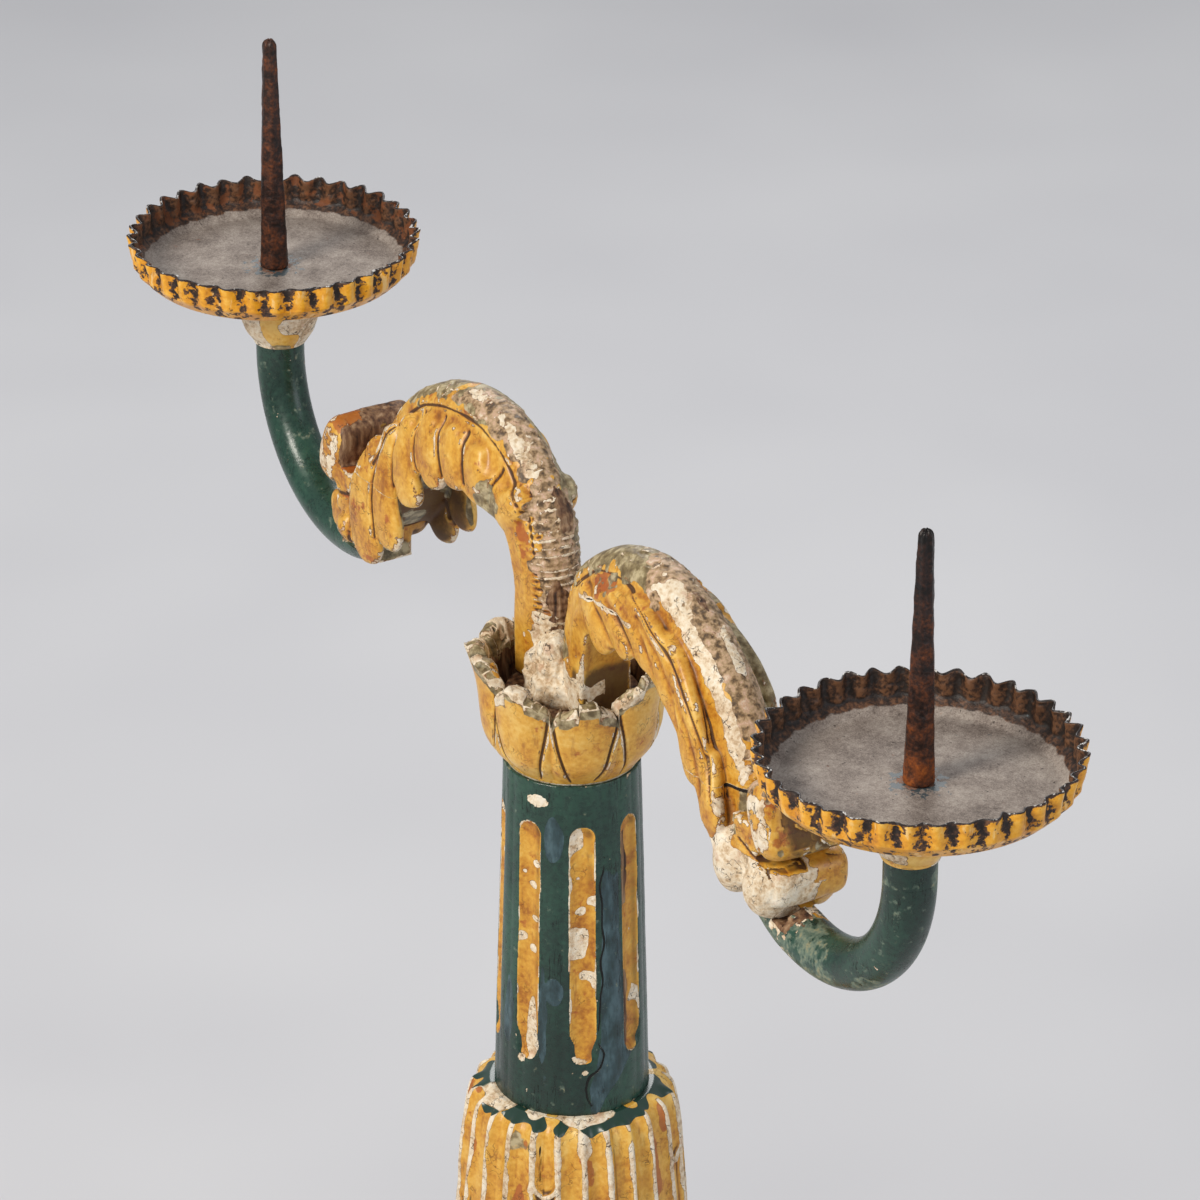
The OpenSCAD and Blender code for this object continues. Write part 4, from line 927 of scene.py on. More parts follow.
GESSO = surface("chalk_gesso", old_gesso)
GESSO_R, GESSO_H = 15.0, 22
columns = 200
angle = turns(columns)
share = np.linspace(0, 1, 90)[:, None]
toward = np.cos(angle - math.radians(215))[None]
tall = GESSO_H * (0.62 + 0.38 * ramp(toward, -0.3, 0.6))
line = through([(1, 0), (0.97, 0.3), (0.86, 0.6), (0.66, 0.85), (0.35, 1)], np.sqrt(share[:, 0]))
rows = polar(GESSO_R * line[:, 0][:, None], angle, ROOT_Z + tall * line[:, 1][:, None])
lumps = 1.0 * chipped(rows, 8, 121) + 1.9 * noise(rows, 6, 122)
lumps = lumps + 0.8 * noise(rows, 2.4, 123) + 0.3 * noise(rows, 1, 124)
rows = rows + normals_of(rows) * (lumps * ramp(rows[..., 2], ROOT_Z, ROOT_Z + 2))[..., None]
settle("packed_gesso", shell("gesso", rows), GESSO, "gesso", "stand", "gesso_packing")

# ---- Scroll arms ----
# Each arm is sawn from a plank and carved: a round rib along the top and an acanthus leaf
# below it with long hanging fingers, pegged into the block. The gilt crowns are worn to gesso,
# dirt and wood.

REACH, SCROLL_H, SCROLL_DROP = 130, 68.4, 80
# The rib's course in shares of the reach and of the scroll's height, then the leaf's depth and
# half thickness along it
RIB = np.array(
    [(0.092, 0.124), (0.092, 0.439), (0.131, 0.737), (0.256, 0.937), (0.417, 1)]
    + [(0.575, 0.92), (0.712, 0.751), (0.809, 0.5), (0.885, 0.221), (1, 0)]
)
LEAF_DEPTH = 23 * np.array([0.43, 0.48, 0.65, 1, 0.93, 0.85, 0.83, 0.63, 0.5, 0.42])
LEAF_HALF = 17 * np.array([0.56, 0.58, 0.68, 0.8, 0.82, 0.84, 0.88, 0.92, 0.97, 1])
RIB_R = 9
SIDE_SHARES = [(0, 0), (0.12, 0.3), (0.28, 0.85), (0.6, 1), (0.9, 1), (1, 0.7)]
GROUND_SHARE = 0.9
ROOT_TOP, RIB_END = {1: -0.48, -1: -15.48}, 178
FINGER_THICK = 2.8
# Fingers of the right and of the left leaf: half width and spine, as x and z below the pan's rim
FINGERS = {
    1: [
        (6.0, [(20, -22), (29, -27), (36, -32), (41, -38.5)]),
        (5.0, [(30, -19), (42, -22.5), (50, -27.5), (55, -34)]),
        (5.0, [(38, -16.5), (53, -19), (62, -24), (68, -32.5)]),
        (6.4, [(50, -14), (66, -18.5), (76, -27), (81.5, -39)]),
        (7.4, [(70, -18), (82, -25), (91, -36), (96, -48), (98.5, -58)]),
        (5.6, [(100, -44), (105, -54), (107.5, -62), (109, -69)]),
    ],
    -1: [
        (6.0, [(15, -22), (21, -28), (29.5, -36.5)]),
        (6.6, [(41.5, -14), (40.5, -22), (39, -31.5)]),
        (6.6, [(56.5, -13), (55.5, -21), (54, -28), (52.5, -35)]),
        (7.2, [(72, -15), (70.5, -24), (68, -32), (65, -40)]),
        (7.4, [(85, -21), (86, -31), (84.5, -41), (81.5, -48), (80, -52.6)]),
        (7.8, [(95, -29), (98, -42), (97, -54), (94, -65), (91.5, -73.5)]),
        (10.0, [(102, -37), (106, -48), (109, -60), (108.5, -73), (106, -84)]),
    ],
}
BORDER = {
    1: [(15.5, -25.6), (27.9, -15.2), (43.2, -11.1), (58.4, -12.6), (72.2, -17.5)]
    + [(85.1, -24.6), (95.7, -34.5), (104.1, -46.7), (109.4, -57.2)],
    -1: [(7.5, -63), (9.5, -43), (13.8, -29), (20, -22), (29.5, -14.3), (44.5, -9.4)]
    + [(64, -11), (81, -16.8), (91, -25), (98, -34), (104, -46)],
}
SPLIT = [(14, -27), (22, -25.5), (34, -22.5), (44, -20.8), (52, -20.5), (58, -20)]

along_rib = np.linspace(0, 1, 3001)
rib_xz = through(RIB, along_rib) * [REACH, SCROLL_H] - [0, SCROLL_DROP]
rib_s = np.r_[0, np.cumsum(np.linalg.norm(np.diff(rib_xz, axis=0), axis=1))]


def rib_at(s):
    """Place, heading and share of the way along the rib, at a length from its root"""
    u = np.interp(s, rib_s, along_rib)
    spot = np.stack([np.interp(s, rib_s, rib_xz[:, k]) for k in (0, 1)], -1)
    spot[..., 1] += np.minimum(s, 0)
    ahead = np.stack([np.interp(s + 1, rib_s, rib_xz[:, k]) for k in (0, 1)], -1)
    behind = np.stack([np.interp(s - 1, rib_s, rib_xz[:, k]) for k in (0, 1)], -1)
    heading = ahead - behind
    heading[s < 1] = (0, 1)
    return spot, heading / np.linalg.norm(heading, axis=-1, keepdims=True), u


def rib_rows(s):
    """Rings of the rib and of the leaf's ground behind its fingers, at lengths along the rib"""
    spot, heading, u = rib_at(s)
    depth, half = through(LEAF_DEPTH, u), through(LEAF_HALF, u)
    crown = np.linspace(math.pi / 2, 0, 22)
    crown_y, crown_n = RIB_R * np.cos(crown), RIB_R * np.sin(crown)
    shape = through(np.array(SIDE_SHARES), np.linspace(0, 1, 41)[1:])
    ground = 1 - (1 - GROUND_SHARE) * ramp(s, 22, 40)
    side_y = RIB_R + ((half - RIB_R) * ground)[:, None] * shape[:, 1]
    side_n = -depth[:, None] * shape[:, 0] * 0.94
    under = np.linspace(0, 1, 15)[1:-1]
    under_y = side_y[:, -1:] * (1 - under)
    under_n = side_n[:, -1:] + (-0.84 * depth[:, None] - side_n[:, -1:]) * np.sin(under * math.pi / 2)
    y = np.concatenate([np.broadcast_to(crown_y, (len(s), 22)), side_y, under_y], 1)
    n = np.concatenate([np.broadcast_to(crown_n, (len(s), 22)), side_n, under_n], 1)
    y = np.concatenate([-y, [[0]] * len(s), y[:, :0:-1]], 1)
    n = np.concatenate([n, -0.84 * depth[:, None], n[:, :0:-1]], 1)
    return np.stack([spot[:, :1] - heading[:, 1:] * n, y, spot[:, 1:] + heading[:, :1] * n], -1)


def on_rib(x, z):
    """How far along the rib each point in the arm's plane lies, and how far out from its line"""
    s = np.arange(-16, rib_s[-1], 0.5)
    spot, heading, _ = rib_at(s)
    nearest = np.concatenate([
        np.argmin((a[:, None] - spot[:, 0]) ** 2 + (b[:, None] - spot[:, 1]) ** 2, 1)
        for a, b in zip(np.array_split(x, 40), np.array_split(z, 40))
    ])
    dx, dz = x - spot[nearest, 0], z - spot[nearest, 1]
    way_x, way_z = heading[nearest].T
    return s[nearest] + dx * way_x + dz * way_z, dz * way_x - dx * way_z


def finger_rows(half_w, spine, flip):
    """Rings of one carved finger that swells and rounds off along its spine"""
    t = np.linspace(0, 1, 60)
    path = through(spine, t)
    way = np.gradient(path, axis=0)
    way /= np.linalg.norm(way, axis=1, keepdims=True)
    end = np.sqrt(np.maximum(1 - np.maximum(0, (t - 0.72) / 0.28) ** 2, 0.001))
    end = end * np.sqrt(ramp(t, -0.02, 0.12) + 0.01)
    wide = half_w * (0.5 + 0.5 * np.sin(np.minimum(t / 0.75, 1) * math.pi / 2)) * end
    a = turns(48)
    c, s = np.cos(a), np.sin(a)
    side_off = wide[:, None] * np.sign(c) * np.abs(c) ** 0.8
    swell = np.sign(s) * np.abs(s) ** 0.75
    half = through(LEAF_HALF, rib_at(on_rib(*path.T)[0])[2])
    mid_y = half - FINGER_THICK + 0.7 - 2.6 * ramp(t, 0.5, -0.05)
    y = mid_y[:, None] + FINGER_THICK * end[:, None] * swell
    x, z = path[:, :1] - way[:, 1:] * side_off, path[:, 1:] + way[:, :1] * side_off
    return np.stack([x, y * flip, z], -1)


def off_line(x, z, line):
    """Distance from points in the arm's plane to a smooth curve through the line's points"""
    path = through(line, np.linspace(0, 1, 8 * len(line)))
    best = np.full(x.shape, 99.0)
    for (ax, az), (bx, bz) in zip(path[:-1], path[1:]):
        dx, dz = bx - ax, bz - az
        t = np.clip(((x - ax) * dx + (z - az) * dz) / (dx * dx + dz * dz), 0, 1)
        best = np.minimum(best, np.hypot(x - ax - t * dx, z - az - t * dz))
    return best


def joined_mesh(name, groups, voxel):
    """Fuses closed shells into one skin with cells of that size"""
    whole = bmesh.new()
    for rows in groups:
        part = shell("part", rows)
        whole.from_mesh(part)
        bpy.data.meshes.remove(part)
    mesh = bpy.data.meshes.new(name)
    whole.to_mesh(mesh)
    whole.free()
    shaped = bpy.data.objects.new(name, mesh)
    bpy.context.collection.objects.link(shaped)
    fuse = shaped.modifiers.new("fuse", "REMESH")
    fuse.mode = "VOXEL"
    fuse.voxel_size = voxel * MM
    graph = bpy.context.evaluated_depsgraph_get()
    fused = bpy.data.meshes.new_from_object(shaped.evaluated_get(graph))
    bpy.data.objects.remove(shaped)
    bpy.data.meshes.remove(mesh)
    return fused


def carved_leaf(side, groups):
    """Fuses the shells of a leaf, eases them like knife work, and cuts its fine lines"""
    mesh = joined_mesh("leaf", groups, 0.55)
    points = points_of(mesh) / MM
    seat = ramp(points[:, 2], -89.8, -88.6)
    points = points + (averaged(mesh, points, 1.7) - points) * seat[:, None]
    move_points(mesh, points)
    normals = points_of(mesh, "vector")
    x, y, z = points.T
    length, out = on_rib(x, z)
    face = ramp(np.abs(normals[:, 1]), 0.2, 0.55) * ramp(out, 6, 4) * ramp(x, 118, 112)
    wobble = 0.8 * noise(points, 9, 129)
    border = np.exp(-(((off_line(x, z, BORDER[side]) + 0.7 * wobble) / 0.6) ** 2))
    border = border * face * ramp(length, 22, 36)
    cut = -0.6 * border * ramp(noise(points, 12, 127), -0.9, 0.1)
    depth, width = (0.55, 1.3) if side > 0 else (0.9, 0.8)
    share = np.linspace(0, 0.8, 6)
    for (_, first), (_, second) in zip(FINGERS[side][:-1], FINGERS[side][1:]):
        between = (through(first, share) + through(second, share)) / 2
        cut = cut - depth * np.exp(-(((off_line(x, z, between) + 0.5 * wobble) / width) ** 2)) * face
    rings = np.sin(length * 2.6 + 1.5 * wobble) * ramp(np.abs(length - 26), 24, 16)
    cut = cut + 0.22 * rings * ramp(out, 0, 3) * (side < 0)
    crown = ramp(out, 1, 5) * ramp(length, 178, 168) * ramp(out, 11, 10)
    flakes = 0.4 * chipped(points, 5, 134 + side) + 0.22 * chipped(points, 2.4, 136 + side)
    cut = cut + crown * flakes * ramp(noise(points, 18, 138 + side), -0.5, 0.1)
    cut = cut + 0.3 * noise(points, 16, 130 + side) + 0.16 * noise(points, 5, 132 + side)
    move_points(mesh, points + normals * (cut * seat)[:, None])
    return mesh


def cut_at_joint(mesh, wanted):
    """Saws a leaf at its level joint, keeps the faces that are wanted and closes the cut"""
    form = bmesh.new()
    form.from_mesh(mesh)
    whole = form.verts[:] + form.edges[:] + form.faces[:]
    bmesh.ops.bisect_plane(form, geom=whole, plane_co=(0, 0, TIP_JOINT * MM), plane_no=(0, 0, 1))
    faces = list(form.faces)
    x, _, z = np.array([f.calc_center_median() for f in faces]).T / MM
    kept = wanted(x, z)
    bmesh.ops.delete(form, geom=[f for f, keep in zip(faces, kept) if not keep], context="FACES")
    bmesh.ops.holes_fill(form, edges=[e for e in form.edges if e.is_boundary], sides=0)
    bmesh.ops.recalc_face_normals(form, faces=form.faces)
    form.to_mesh(mesh)
    form.free()


def set_in_place(mesh, side):
    """Takes a right arm's mesh to its own side and height"""
    move_points(mesh, points_of(mesh) / MM * [side, 1, 1] + [0, 0, RIM_Z[side]])
    if side < 0:
        mesh.flip_normals()
    mesh.shade_smooth()
    mesh.set_sharp_from_angle(angle=math.radians(50))


def blots(length, across, points, spots, seed):
    """Ragged blots on an arm: each spot is a length along, a distance across and two half sizes"""
    total = np.zeros(length.shape)
    ragged = 0.45 * noise(points, 6, seed) + 0.35 * noise(points, 2.2, seed + 1)
    for s, c, reach_s, reach_c, strength in spots:
        gap = np.sqrt(((length - s) / reach_s) ** 2 + ((across - c) / reach_c) ** 2)
        total = np.maximum(total, strength * ramp(gap + ragged, 1.1, 0.8))
    return total


# Blots of each kind on the right and the left arm, as blots() takes them
ARM_BARE = {
    1: [(116, 8, 30, 2.6, 1.0), (146, 8, 16, 2.6, 1.0), (100, 6, 9, 4, 0.9)]
    + [(98, 4, 7, 3, 0.6), (8, 14, 12, 9, 0.9), (122, -2, 9, 2, 0.6)],
    -1: [(62, 4, 12, 3, 0.8), (84, 3, 6, 2, 0.5), (2, 6, 10, 9, 0.9)],
}
ARM_TAN = {
    1: [(110, 0, 30, 10, 1.2), (140, -2, 24, 9, 1.2), (92, 3, 8, 8, 0.9)],
    -1: [(64, 0, 20, 8, 1.1), (78, 6, 14, 4, 1.0), (30, 2, 30, 9, 1.2)],
}
ARM_GREY = {
    1: [(64, 0, 30, 13, 1.3), (134, -13, 36, 4, 1.1), (20, 8, 6, 6, 0.9)],
    -1: [(54, 26, 9, 6, 1.2), (112, -1, 26, 9, 1.4), (84, -6, 16, 7, 1.0)]
    + [(44, -8, 26, 4, 1.2), (78, 7, 10, 3, 0.8), (34, -6, 20, 3, 1.2)],
}
ARM_WOOD = {
    1: [(104, -1, 4, 2, 0.8)],
    -1: [(14, 3, 9, 4, 0.9), (42, -2, 6, 3, 0.9)],
}
ARM_BOLE = {
    1: [(98, -5, 7, 4, 2.0), (112, -3, 10, 3, 2.0), (66, 15, 10, 4, 1.2)],
    -1: [(96, -3, 8, 4, 1.6), (34, 15, 6, 3, 0.9)],
}


def leaf_marks(mesh, side):
    """Marks of wear, dirt and painted shade on a carved leaf, before it is set in place"""
    points, normals = points_of(mesh) / MM, points_of(mesh, "vector")
    x, y, z = points.T
    length, out = on_rib(x, z)
    around = RIB_R * np.arctan2(np.abs(y), np.maximum(out, 0.01))
    across = -np.sign(y) * (around + np.maximum(-out, 0))
    inner = ramp(-normals[:, 1] * np.sign(y), 0.1, 0.5) * ramp(np.abs(y), 4, 7) * ramp(out, -2, -6)
    under = np.maximum(ramp(-out, 10, 14) * ramp(np.abs(y), 9, 7), inner)
    face = ramp(np.abs(normals[:, 1]), 0.2, 0.55) * ramp(out, 6, 4)
    bead = np.exp(-((off_line(x, z, BORDER[side]) / 0.8) ** 2)) * face
    edge = ramp(np.abs(y), 12.5, 14.5) * ramp(np.abs(normals[:, 1]), 0.8, 0.5) * ramp(-out, 3, 6)
    edge = edge * ramp(noise(points, 7, 140), 0.0, 0.3) * ramp(length, 24, 34)
    bare = blots(length, across, points, ARM_BARE[side], 141) * (1 - under)
    dusty = under * ramp(noise(points, 8, 158), -0.2, 0.2)
    marks = {
        "bare": np.maximum(bare, (0.3 if side > 0 else 0.62) * edge),
        "tan": blots(length, across, points, ARM_TAN[side], 149),
        "grey": np.maximum(blots(length, across, points, ARM_GREY[side], 143), dusty),
        "wood": blots(length, across, points, ARM_WOOD[side], 145),
        "bole": blots(length, across, points, ARM_BOLE[side], 147),
        # Dark under the leaf and on its inner faces: painted shade; along the carved border, grime and shade.
        "dirt_and_shade": np.clip(0.45 * bead + 0.85 * under, 0, 1),
    }
    if side > 0:
        gap = off_line(x, z, SPLIT) + 0.3 * noise(points, 4, 148)
        near_side = (y < 0) * (out < -1)
        broken = ramp(noise(points, 5, 151), -0.2, 0.2)
        marks["crack"] = 0.8 * np.exp(-((gap / 0.2) ** 2)) * near_side * broken
        lips = ramp(gap, 0.8, 0.3) * near_side * ramp(noise(points, 6, 146), -0.6, -0.2)
        marks["bare"] = np.maximum(marks["bare"], lips)
        # The underside at the root is darkened too: painted shade.
        marks["dirt_and_shade"] = np.maximum(marks["dirt_and_shade"], ramp(length, 24, 12) * ramp(-out, 2, 6))
    return marks


def both_sides(fingers):
    """Rings of the fingers on the two faces of a leaf"""
    spines = [(half_w, np.array(spine, float)) for half_w, spine in fingers]
    return [finger_rows(half_w, spine, flip) for half_w, spine in spines for flip in (-1, 1)]


for side, name in ((1, "right"), (-1, "left")):
    rib = rib_rows(np.arange(ROOT_TOP[side], RIB_END, 0.5))
    mesh = carved_leaf(side, [rib, *both_sides(FINGERS[side])])
    cut_at_joint(mesh, lambda x, z: (z > TIP_JOINT) | (x < 65))
    for key, values in leaf_marks(mesh, side).items():
        store(mesh, key, values)
    set_in_place(mesh, side)
    mark_hollows(mesh)
    settle(f"carved_arm_{name}", mesh, GILDED, "gilded_wood", "stand", f"scroll_arm_{name}")

# ---- Leaf tips ----
# The end of each leaf is a block of its own, glued on at a level joint: lobes below, a tongue
# that stands up and a lip that the stem is nailed to. The right one is bare gesso in front.

TONGUE = {"mid": (1.03, 0.385), "long": 26, "thick": 14, "lean": 20, "near": -16}
LIP = {"mid": (0.995, 0.05), "long": 16, "thick": 23, "lean": 0, "near": -13}
HEEL_X, HEEL_LONG, HEEL_WIDE, LAP_Z = 124.15, 18, 13, -90
LOBES = {
    1: [((114.5, 9.2, -76), (8, 8, 12)), ((130.5, 8.4, -78.5), (8, 8, 10.8))],
    -1: [((124, 8.6, -78.5), (9, 8, 7))],
}


def bar_rows(bar, far):
    """Rings of a rounded bar across the leaf, from its near end to its far one"""
    along = np.sin(np.linspace(-1, 1, 60) * math.pi / 2)
    round_off = (1 - np.abs(along) ** 9) ** 0.5 * 0.9 + 0.1
    a = turns(120)
    c, s = np.cos(a), np.sin(a)
    square = (np.abs(c) ** 3.4 + np.abs(s) ** 3.4) ** (-1 / 3.4)
    x = round_off[:, None] * bar["thick"] / 2 * c * square
    z = round_off[:, None] * bar["long"] / 2 * s * square
    t = math.radians(bar["lean"])
    mid_x, mid_z = REACH * bar["mid"][0], SCROLL_H * bar["mid"][1] - SCROLL_DROP
    y = np.broadcast_to((bar["near"] + (far - bar["near"]) * (along[:, None] + 1) / 2), x.shape)
    turned_x, turned_z = x * math.cos(t) - z * math.sin(t), z * math.cos(t) + x * math.sin(t)
    return np.stack([mid_x + turned_x, y, mid_z + turned_z], -1)


def ball_rows(mid, radii):
    """Rings of a rounded lump"""
    a = turns(72)
    t = np.linspace(-1.5, 1.5, 36)[:, None]
    lump = np.stack(np.broadcast_arrays(np.cos(t) * np.cos(a), np.cos(t) * np.sin(a), np.sin(t)), -1)
    return lump * radii + mid


def box_rows(low, high):
    """Rings of a square bar that stands upright"""
    corners = np.array([(low[0], low[1]), (high[0], low[1]), (high[0], high[1]), (low[0], high[1])])
    return np.stack([np.concatenate([corners, np.full((4, 1), z)], 1) for z in (low[2], high[2])])


def below_joint(x, z):
    """Whether a place belongs to the tip: below the joint, or on the tongue out past the rib"""
    return (z < TIP_JOINT) | ((on_rib(x, z)[1] > 10.3) & (x > 112))


for side, name in ((1, "right"), (-1, "left")):
    web = box_rows((117.65, -14, -73.2), (131.3, 14, -57.4))
    along, across = HEEL_LONG / 2, HEEL_WIDE / 2
    heel = box_rows((HEEL_X - along, -across, LAP_Z), (HEEL_X + along, across, -71.5))
    groups = [rib_rows(np.arange(142, 180, 0.5)), bar_rows(TONGUE, 17), bar_rows(LIP, 17), web, heel]
    groups += both_sides([f for f in FINGERS[side] if f[1][-1][1] < TIP_JOINT])
    for mid, radii in LOBES[side]:
        groups += [ball_rows(np.array(mid) * [1, flip, 1], radii) for flip in (-1, 1)]
    mesh = carved_leaf(side, groups)
    points, out = points_of(mesh) / MM, points_of(mesh, "vector")
    x, y, z = points.T
    lip = ramp(x, 112, 116) * ramp(z, -69, -71)
    fold_at = x - 120 - 0.4 * (y + 17) + 2 * noise(points, 12, 151)
    crease = np.exp(-((fold_at / 1.1) ** 2)) * lip * ramp(-z, 90, 84) * (side < 0)
    low_crease = np.exp(-(((z + 67.5 + 0.25 * (x - 130)) / 0.9) ** 2)) * ramp(x, 118, 124) * (y < 0)
    rough = 0.35 * chipped(points, 8, 152 + side) * ramp(x, 112, 118)
    move = (rough - 0.9 * crease - 0.9 * low_crease) * ramp(z, -89.8, -88.6)
    move_points(mesh, points + out * move[:, None])
    cut_at_joint(mesh, below_joint)
    marks = leaf_marks(mesh, side)
    points, out = points_of(mesh) / MM, points_of(mesh, "vector")
    x, y, z = points.T
    tongue = ramp(x, 116, 119) * ramp(z, -70, -68)
    lip = ramp(x, 112, 116) * ramp(z, -68, -70)
    low = ramp(z + 4 * noise(points, 9, 155) - 0.9 * (np.minimum(x, 122) - 116), -61, -66) * ramp(y, 6, -2)
    rim = np.exp(-(((np.abs(y) - 15.6) / 0.8) ** 2)) * tongue * ramp(noise(points, 6, 156), -0.5, 0.1)
    end = ramp(-out[:, 1], 0.6, 0.85)
    inner = ramp(-out[:, 0], 0.2, 0.6) * tongue * (1 - end)
    outer = ramp(out[:, 0], 0.2, 0.6) * tongue * (1 - end)
    shelf = lip * ramp(out[:, 2], 0.4, 0.7)
    if side > 0:
        marks["bare"] = np.clip(1.15 * low * (1 - tongue) * (1 - shelf) + 0.6 * rim, 0, 1.2)
        valley = np.exp(-(((x - 117 + 0.3 * (z + 60)) / 2.2) ** 2)) * ramp(z, -67, -63) * (y < 0)
        marks["grey"] = np.clip(1.2 * valley + 0.7 * low * ramp(noise(points, 5, 157), 0.3, 0.6), 0, 1.2)
        # Dark on the tongue's outer face and on the shelf under the heel: painted shade.
        marks["dirt_and_shade"] = np.clip(0.9 * outer * ramp(y, -15, -6) + 0.6 * shelf, 0, 1)
        marks["bole"] = 0.3 * outer
    else:
        gold = end * tongue
        marks["bare"] = np.clip(0.45 * rim + 0.8 * ramp(z, -62, -66) * inner, 0, 1)
        shaded = 0.9 * inner * (1 - gold) + 0.9 * ramp(-out[:, 2], 0.1, 0.5)
        marks["dirt_and_shade"] = np.clip(shaded + marks["dirt_and_shade"], 0, 1)
        marks["bole"] = 1.8 * ramp(out[:, 2], 0.4, 0.8) * tongue
        marks["wood"] = 0.9 * inner + 0.8 * ramp(out[:, 2], 0.6, 0.9) * tongue * ramp(y, -8, 0)
        dusty = ramp(-out[:, 2], 0.2, 0.6) * ramp(noise(points, 7, 158), -0.1, 0.3)
        marks["grey"] = np.maximum(marks["grey"], 0.9 * dusty)
    marks["crack"] = ramp(np.abs(z - TIP_JOINT + 0.4), 0.9, 0.5) * (x < 119) * (np.abs(y) < 11) * (side > 0)
    for key, values in marks.items():
        store(mesh, key, values)
    set_in_place(mesh, side)
    mark_hollows(mesh)
    settle(f"carved_leaf_tip_{name}", mesh, GILDED, "gilded_wood", "stand", f"leaf_tip_{name}")

# ---- Hooked stems ----
# Bent round rods, painted green, lapped under the heel of the leaf tip and nailed there.
# The right one is rubbed to a mottled grey-green, with scraps of gilding at its lap.

PAN_REACH, STEM_INSET, STEM_R, BEND_R = 197.5, 3, 8.25, 47.5
STEM_TOP = -39.6
STRAIGHT = {1: 8, -1: 4}
LAP_FROM, LAP_TO = 111.15, 137.15


def hooked_stem(side):
    """A rod swept along a straight and an arc; lapped() later cuts its upper half away under the heel"""
    tree, (radius,) = sized_tree("stem", ["Radius"])
    centre_x, centre_z = PAN_REACH - STEM_INSET - BEND_R, STEM_TOP - STRAIGHT[side]
    sweep = math.pi / 2 + math.asin((centre_x - LAP_FROM) / BEND_R)
    start = (side * (centre_x + BEND_R) * MM, 0, (RIM_Z[side] + STEM_TOP) * MM)
    bend_from = (start[0], 0, (RIM_Z[side] + centre_z) * MM)
    straight = put(tree, "GeometryNodeCurvePrimitiveLine", {"Start": start, "End": bend_from})
    straight = put(tree, "GeometryNodeResampleCurve", {"Curve": straight, "Count": 12})
    count = 150
    index = put(tree, "GeometryNodeInputIndex")
    turn = index * (sweep / (count - 1))
    reach = (turn.do("COSINE") * BEND_R + centre_x) * (side * MM)
    height = turn.do("SINE") * (-BEND_R * MM) + (RIM_Z[side] + centre_z) * MM
    bow = put(tree, "GeometryNodeCurvePrimitiveLine", {"End": (0, 0, 1)})
    bow = put(tree, "GeometryNodeResampleCurve", {"Curve": bow, "Count": count})
    place = put(tree, "ShaderNodeCombineXYZ", {"X": reach, "Z": height})
    bow = put(tree, "GeometryNodeSetPosition", {"Geometry": bow, "Position": place})
    tubes = tree.nodes.new("GeometryNodeJoinGeometry")
    for path in (straight, bow):
        ring = put(tree, "GeometryNodeCurvePrimitiveCircle", {"Radius": radius, "Resolution": 96})
        ends = {"Curve": path, "Profile Curve": ring, "Fill Caps": False}
        tube = put(tree, "GeometryNodeCurveToMesh", ends)
        tree.links.new(tube.socket, tubes.inputs[0])
    return grown("stem", tree, Amount(tree, tubes.outputs[0]), GREEN, {"Radius": STEM_R * MM})


def lapped(mesh, side):
    """Cuts the rod's inner end down to the flat of the lap and closes its ends"""
    form = bmesh.new()
    form.from_mesh(mesh)
    shoulder, flat = side * LAP_TO * MM, (RIM_Z[side] + LAP_Z) * MM
    whole = form.verts[:] + form.edges[:] + form.faces[:]
    bmesh.ops.bisect_plane(form, geom=whole, plane_co=(shoulder, 0, 0), plane_no=(1, 0, 0))
    inner = [f for f in form.faces if side * f.calc_center_median().x < LAP_TO * MM]
    edges = dict.fromkeys(e for f in inner for e in f.edges)
    verts = dict.fromkeys(v for f in inner for v in f.verts)
    part = [*inner, *edges, *verts]
    bmesh.ops.bisect_plane(form, geom=part, plane_co=(0, 0, flat), plane_no=(0, 0, 1), clear_outer=True)
    rim = [e for e in form.edges if e.is_boundary]
    corners = dict.fromkeys(v for e in rim for v in e.verts)
    ends = [v for v in corners if abs(v.co.x - shoulder) + abs(v.co.z - flat) < 0.02 * MM]
    rim.append(form.edges.new(sorted(ends, key=lambda v: v.co.y)))
    bmesh.ops.edgenet_fill(form, edges=rim)
    bmesh.ops.recalc_face_normals(form, faces=form.faces)
    form.to_mesh(mesh)
    form.free()


for side, name in ((1, "right"), (-1, "left")):
    mesh = hooked_stem(side)
    lapped(mesh, side)
    points, out = points_of(mesh) / MM, points_of(mesh, "vector")
    local = points * [side, 1, 1] - [0, 0, RIM_Z[side]]
    off_lap = ramp(local[:, 2] + 200 * (local[:, 0] > LAP_TO), -90.2, -91.2)
    inner = ramp(local[:, 2], STEM_TOP, STEM_TOP - 3) * off_lap
    move_points(mesh, points + out * (0.25 * noise(points, 14, 161) * inner)[:, None])
    mesh.shade_smooth()
    mesh.set_sharp_from_angle(angle=math.radians(40))
    scrap = ramp(local[:, 0] + 3 * noise(points, 7, 166), 150, 138) * (side > 0)
    top = ramp(local[:, 2] + noise(points, 4, 167), -93, -91.5) * scrap
    store(mesh, "worn", 0.12 + (side > 0) * (0.9 * scrap + 0.75 * ramp(noise(points, 11, 165), 0.15, 0.5)))
    store(mesh, "bare", scrap * (0.75 * ramp(noise(points, 1.8, 162), 0.1, 0.5) + 0.5 * top))
    store(mesh, "gilt", 0.8 * top * ramp(noise(points, 3, 163), 0.1, 0.4))
    store(mesh, "wood", top * ramp(noise(points, 5, 164), 0.0, 0.3))
    mark_hollows(mesh)
    settle(f"hooked_stem_{name}", mesh, GREEN, "green_wood", "stand", f"stem_{name}")

mesh = pins("stem_nail_pins", [(s * HEEL_X, 0, RIM_Z[s] + LAP_Z + 4.54) for s in (-1, 1)], 2.6, 14.0, IRON)
settle("rusty_stem_nails", mesh, IRON, "wrought_iron", "stand", "stem_nails")

# ---- Collars ----
# Small turned cups between stem and pan, gilt over gesso and rubbed pale. The pricket's tang
# goes down through them, a little outside their middle.

